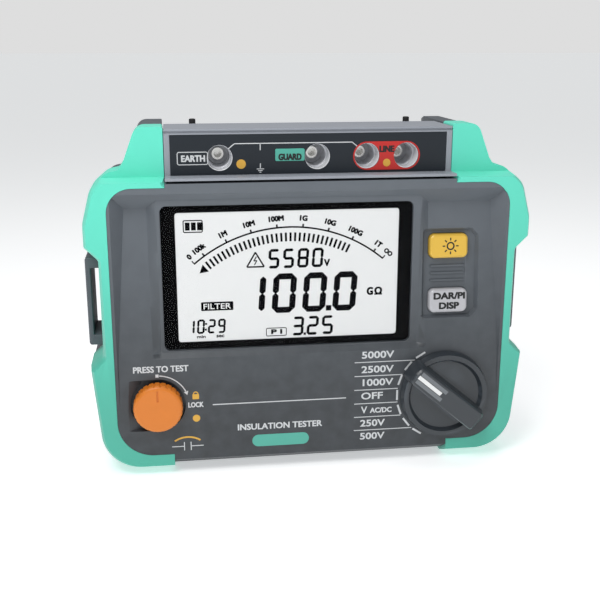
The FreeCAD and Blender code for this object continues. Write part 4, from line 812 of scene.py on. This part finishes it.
def printKeys():
    sun = bmesh.new()
    x, z = keys["sunX"], keys["sunZ"]
    drawArc(sun, x, z, keys["sunRadius"], keys["sunLine"], 0.0, 360.0, steps=32)
    for i in range(keys["rays"]):
        a = math.tau * i / keys["rays"]
        ray = [(x + r * math.cos(a), z + r * math.sin(a)) for r in (keys["rayInner"], keys["rayOuter"])]
        drawPath(sun, ray, keys["rayWidth"])
    layOn(sun, keyFace)
    addPiece("sunMark", sun, "print_black", "backlight_key")
    words = bmesh.new()
    for row in keys["words"]:
        drawWords(words, *row)
    layOn(words, keyFace)
    addPiece("displayKeyWords", words, "print_black", "display_key")


printKeys()
print("keys marked")

# Two lighter strips beside the pointer on the range knob: a painted highlight standing in for light caught by
# the grip's chamfers.
grip = {"angle": 140.0, "inner": 4.6, "outer": 22.0, "apart": 2.35, "width": 2.0}


def drawGripHighlights():
    facets = bmesh.new()
    a = math.radians(grip["angle"])
    for side in (-1, 1):
        x = dial["x"] - side * grip["apart"] * math.sin(a)
        z = dial["z"] + side * grip["apart"] * math.cos(a)
        ends = [(x + r * math.cos(a), z + r * math.sin(a)) for r in (grip["inner"], grip["outer"])]
        drawPath(facets, ends, grip["width"])
    layOn(facets, lambda x, z: -knobProud)
    addPiece("gripHighlights", facets, "knob_facet", "range_selector")


drawGripHighlights()
print("range knob finished")

# Floor, light and camera, in metres.
ground = {"size": 30.0, "drop": 0.0003}
floorShape = bmesh.new()
bmesh.ops.create_grid(floorShape, x_segments=1, y_segments=1, size=ground["size"])
floorMesh = bpy.data.meshes.new("floor")
floorShape.to_mesh(floorMesh)
floorShape.free()
floorMesh.materials.append(finishes["floor_pale"])
floor = bpy.data.objects.new("floor", floorMesh)
floor.location.z = -ground["drop"]
scene.collection.objects.link(floor)

lights = {
    "key": {"at": (-0.22, -0.36, 0.56), "to": (0.0, 0.0, 0.13), "size": 0.3, "power": 2.1},
    "top": {"at": (0.05, 0.12, 0.85), "to": (0.0, 0.0, 0.1), "size": 0.7, "power": 2.4},
    "fill": {"at": (0.75, -0.75, 0.35), "to": (0.0, 0.0, 0.08), "size": 0.8, "power": 0.5},
}
for name, spec in lights.items():
    lamp = bpy.data.lights.new(name, "AREA")
    lamp.shape = "DISK"
    lamp.size = spec["size"]
    lamp.energy = spec["power"]
    holder = bpy.data.objects.new(name, lamp)
    holder.location = spec["at"]
    holder.rotation_euler = (Vector(spec["to"]) - Vector(spec["at"])).to_track_quat("-Z", "Y").to_euler()
    scene.collection.objects.link(holder)

backdrop = {"extraBehind": 0.46, "light": 0.27}      # pale behind, dimmer as light
world = bpy.data.worlds.new("studio")
world.use_nodes = True
sky = world.node_tree.nodes["Background"]
sky.inputs["Color"].default_value = (1.0, 1.0, 1.0, 1.0)
rays = addNode(world.node_tree, "ShaderNodeLightPath")
behind = addMath(world.node_tree, "MULTIPLY", rays.outputs["Is Camera Ray"], backdrop["extraBehind"])
strength = addMath(world.node_tree, "ADD", behind, backdrop["light"])
world.node_tree.links.new(strength, sky.inputs["Strength"])
scene.world = world
scene.view_settings.view_transform = "Standard"

cameraPlace = {"x": -0.0674, "back": 0.439, "z": 0.2129, "down": 15.41, "right": 7.86, "lens": 55.19}
cameraData = bpy.data.cameras.new("camera")
cameraData.lens = cameraPlace["lens"]
cameraData.sensor_width = 36.0
cameraData.clip_start = 0.01
camera = bpy.data.objects.new("camera", cameraData)
camera.location = (cameraPlace["x"], rimY - cameraPlace["back"], cameraPlace["z"])
camera.rotation_euler = (math.radians(90 - cameraPlace["down"]), 0.0, math.radians(-cameraPlace["right"]))
scene.collection.objects.link(camera)
scene.camera = camera
print("stage set")
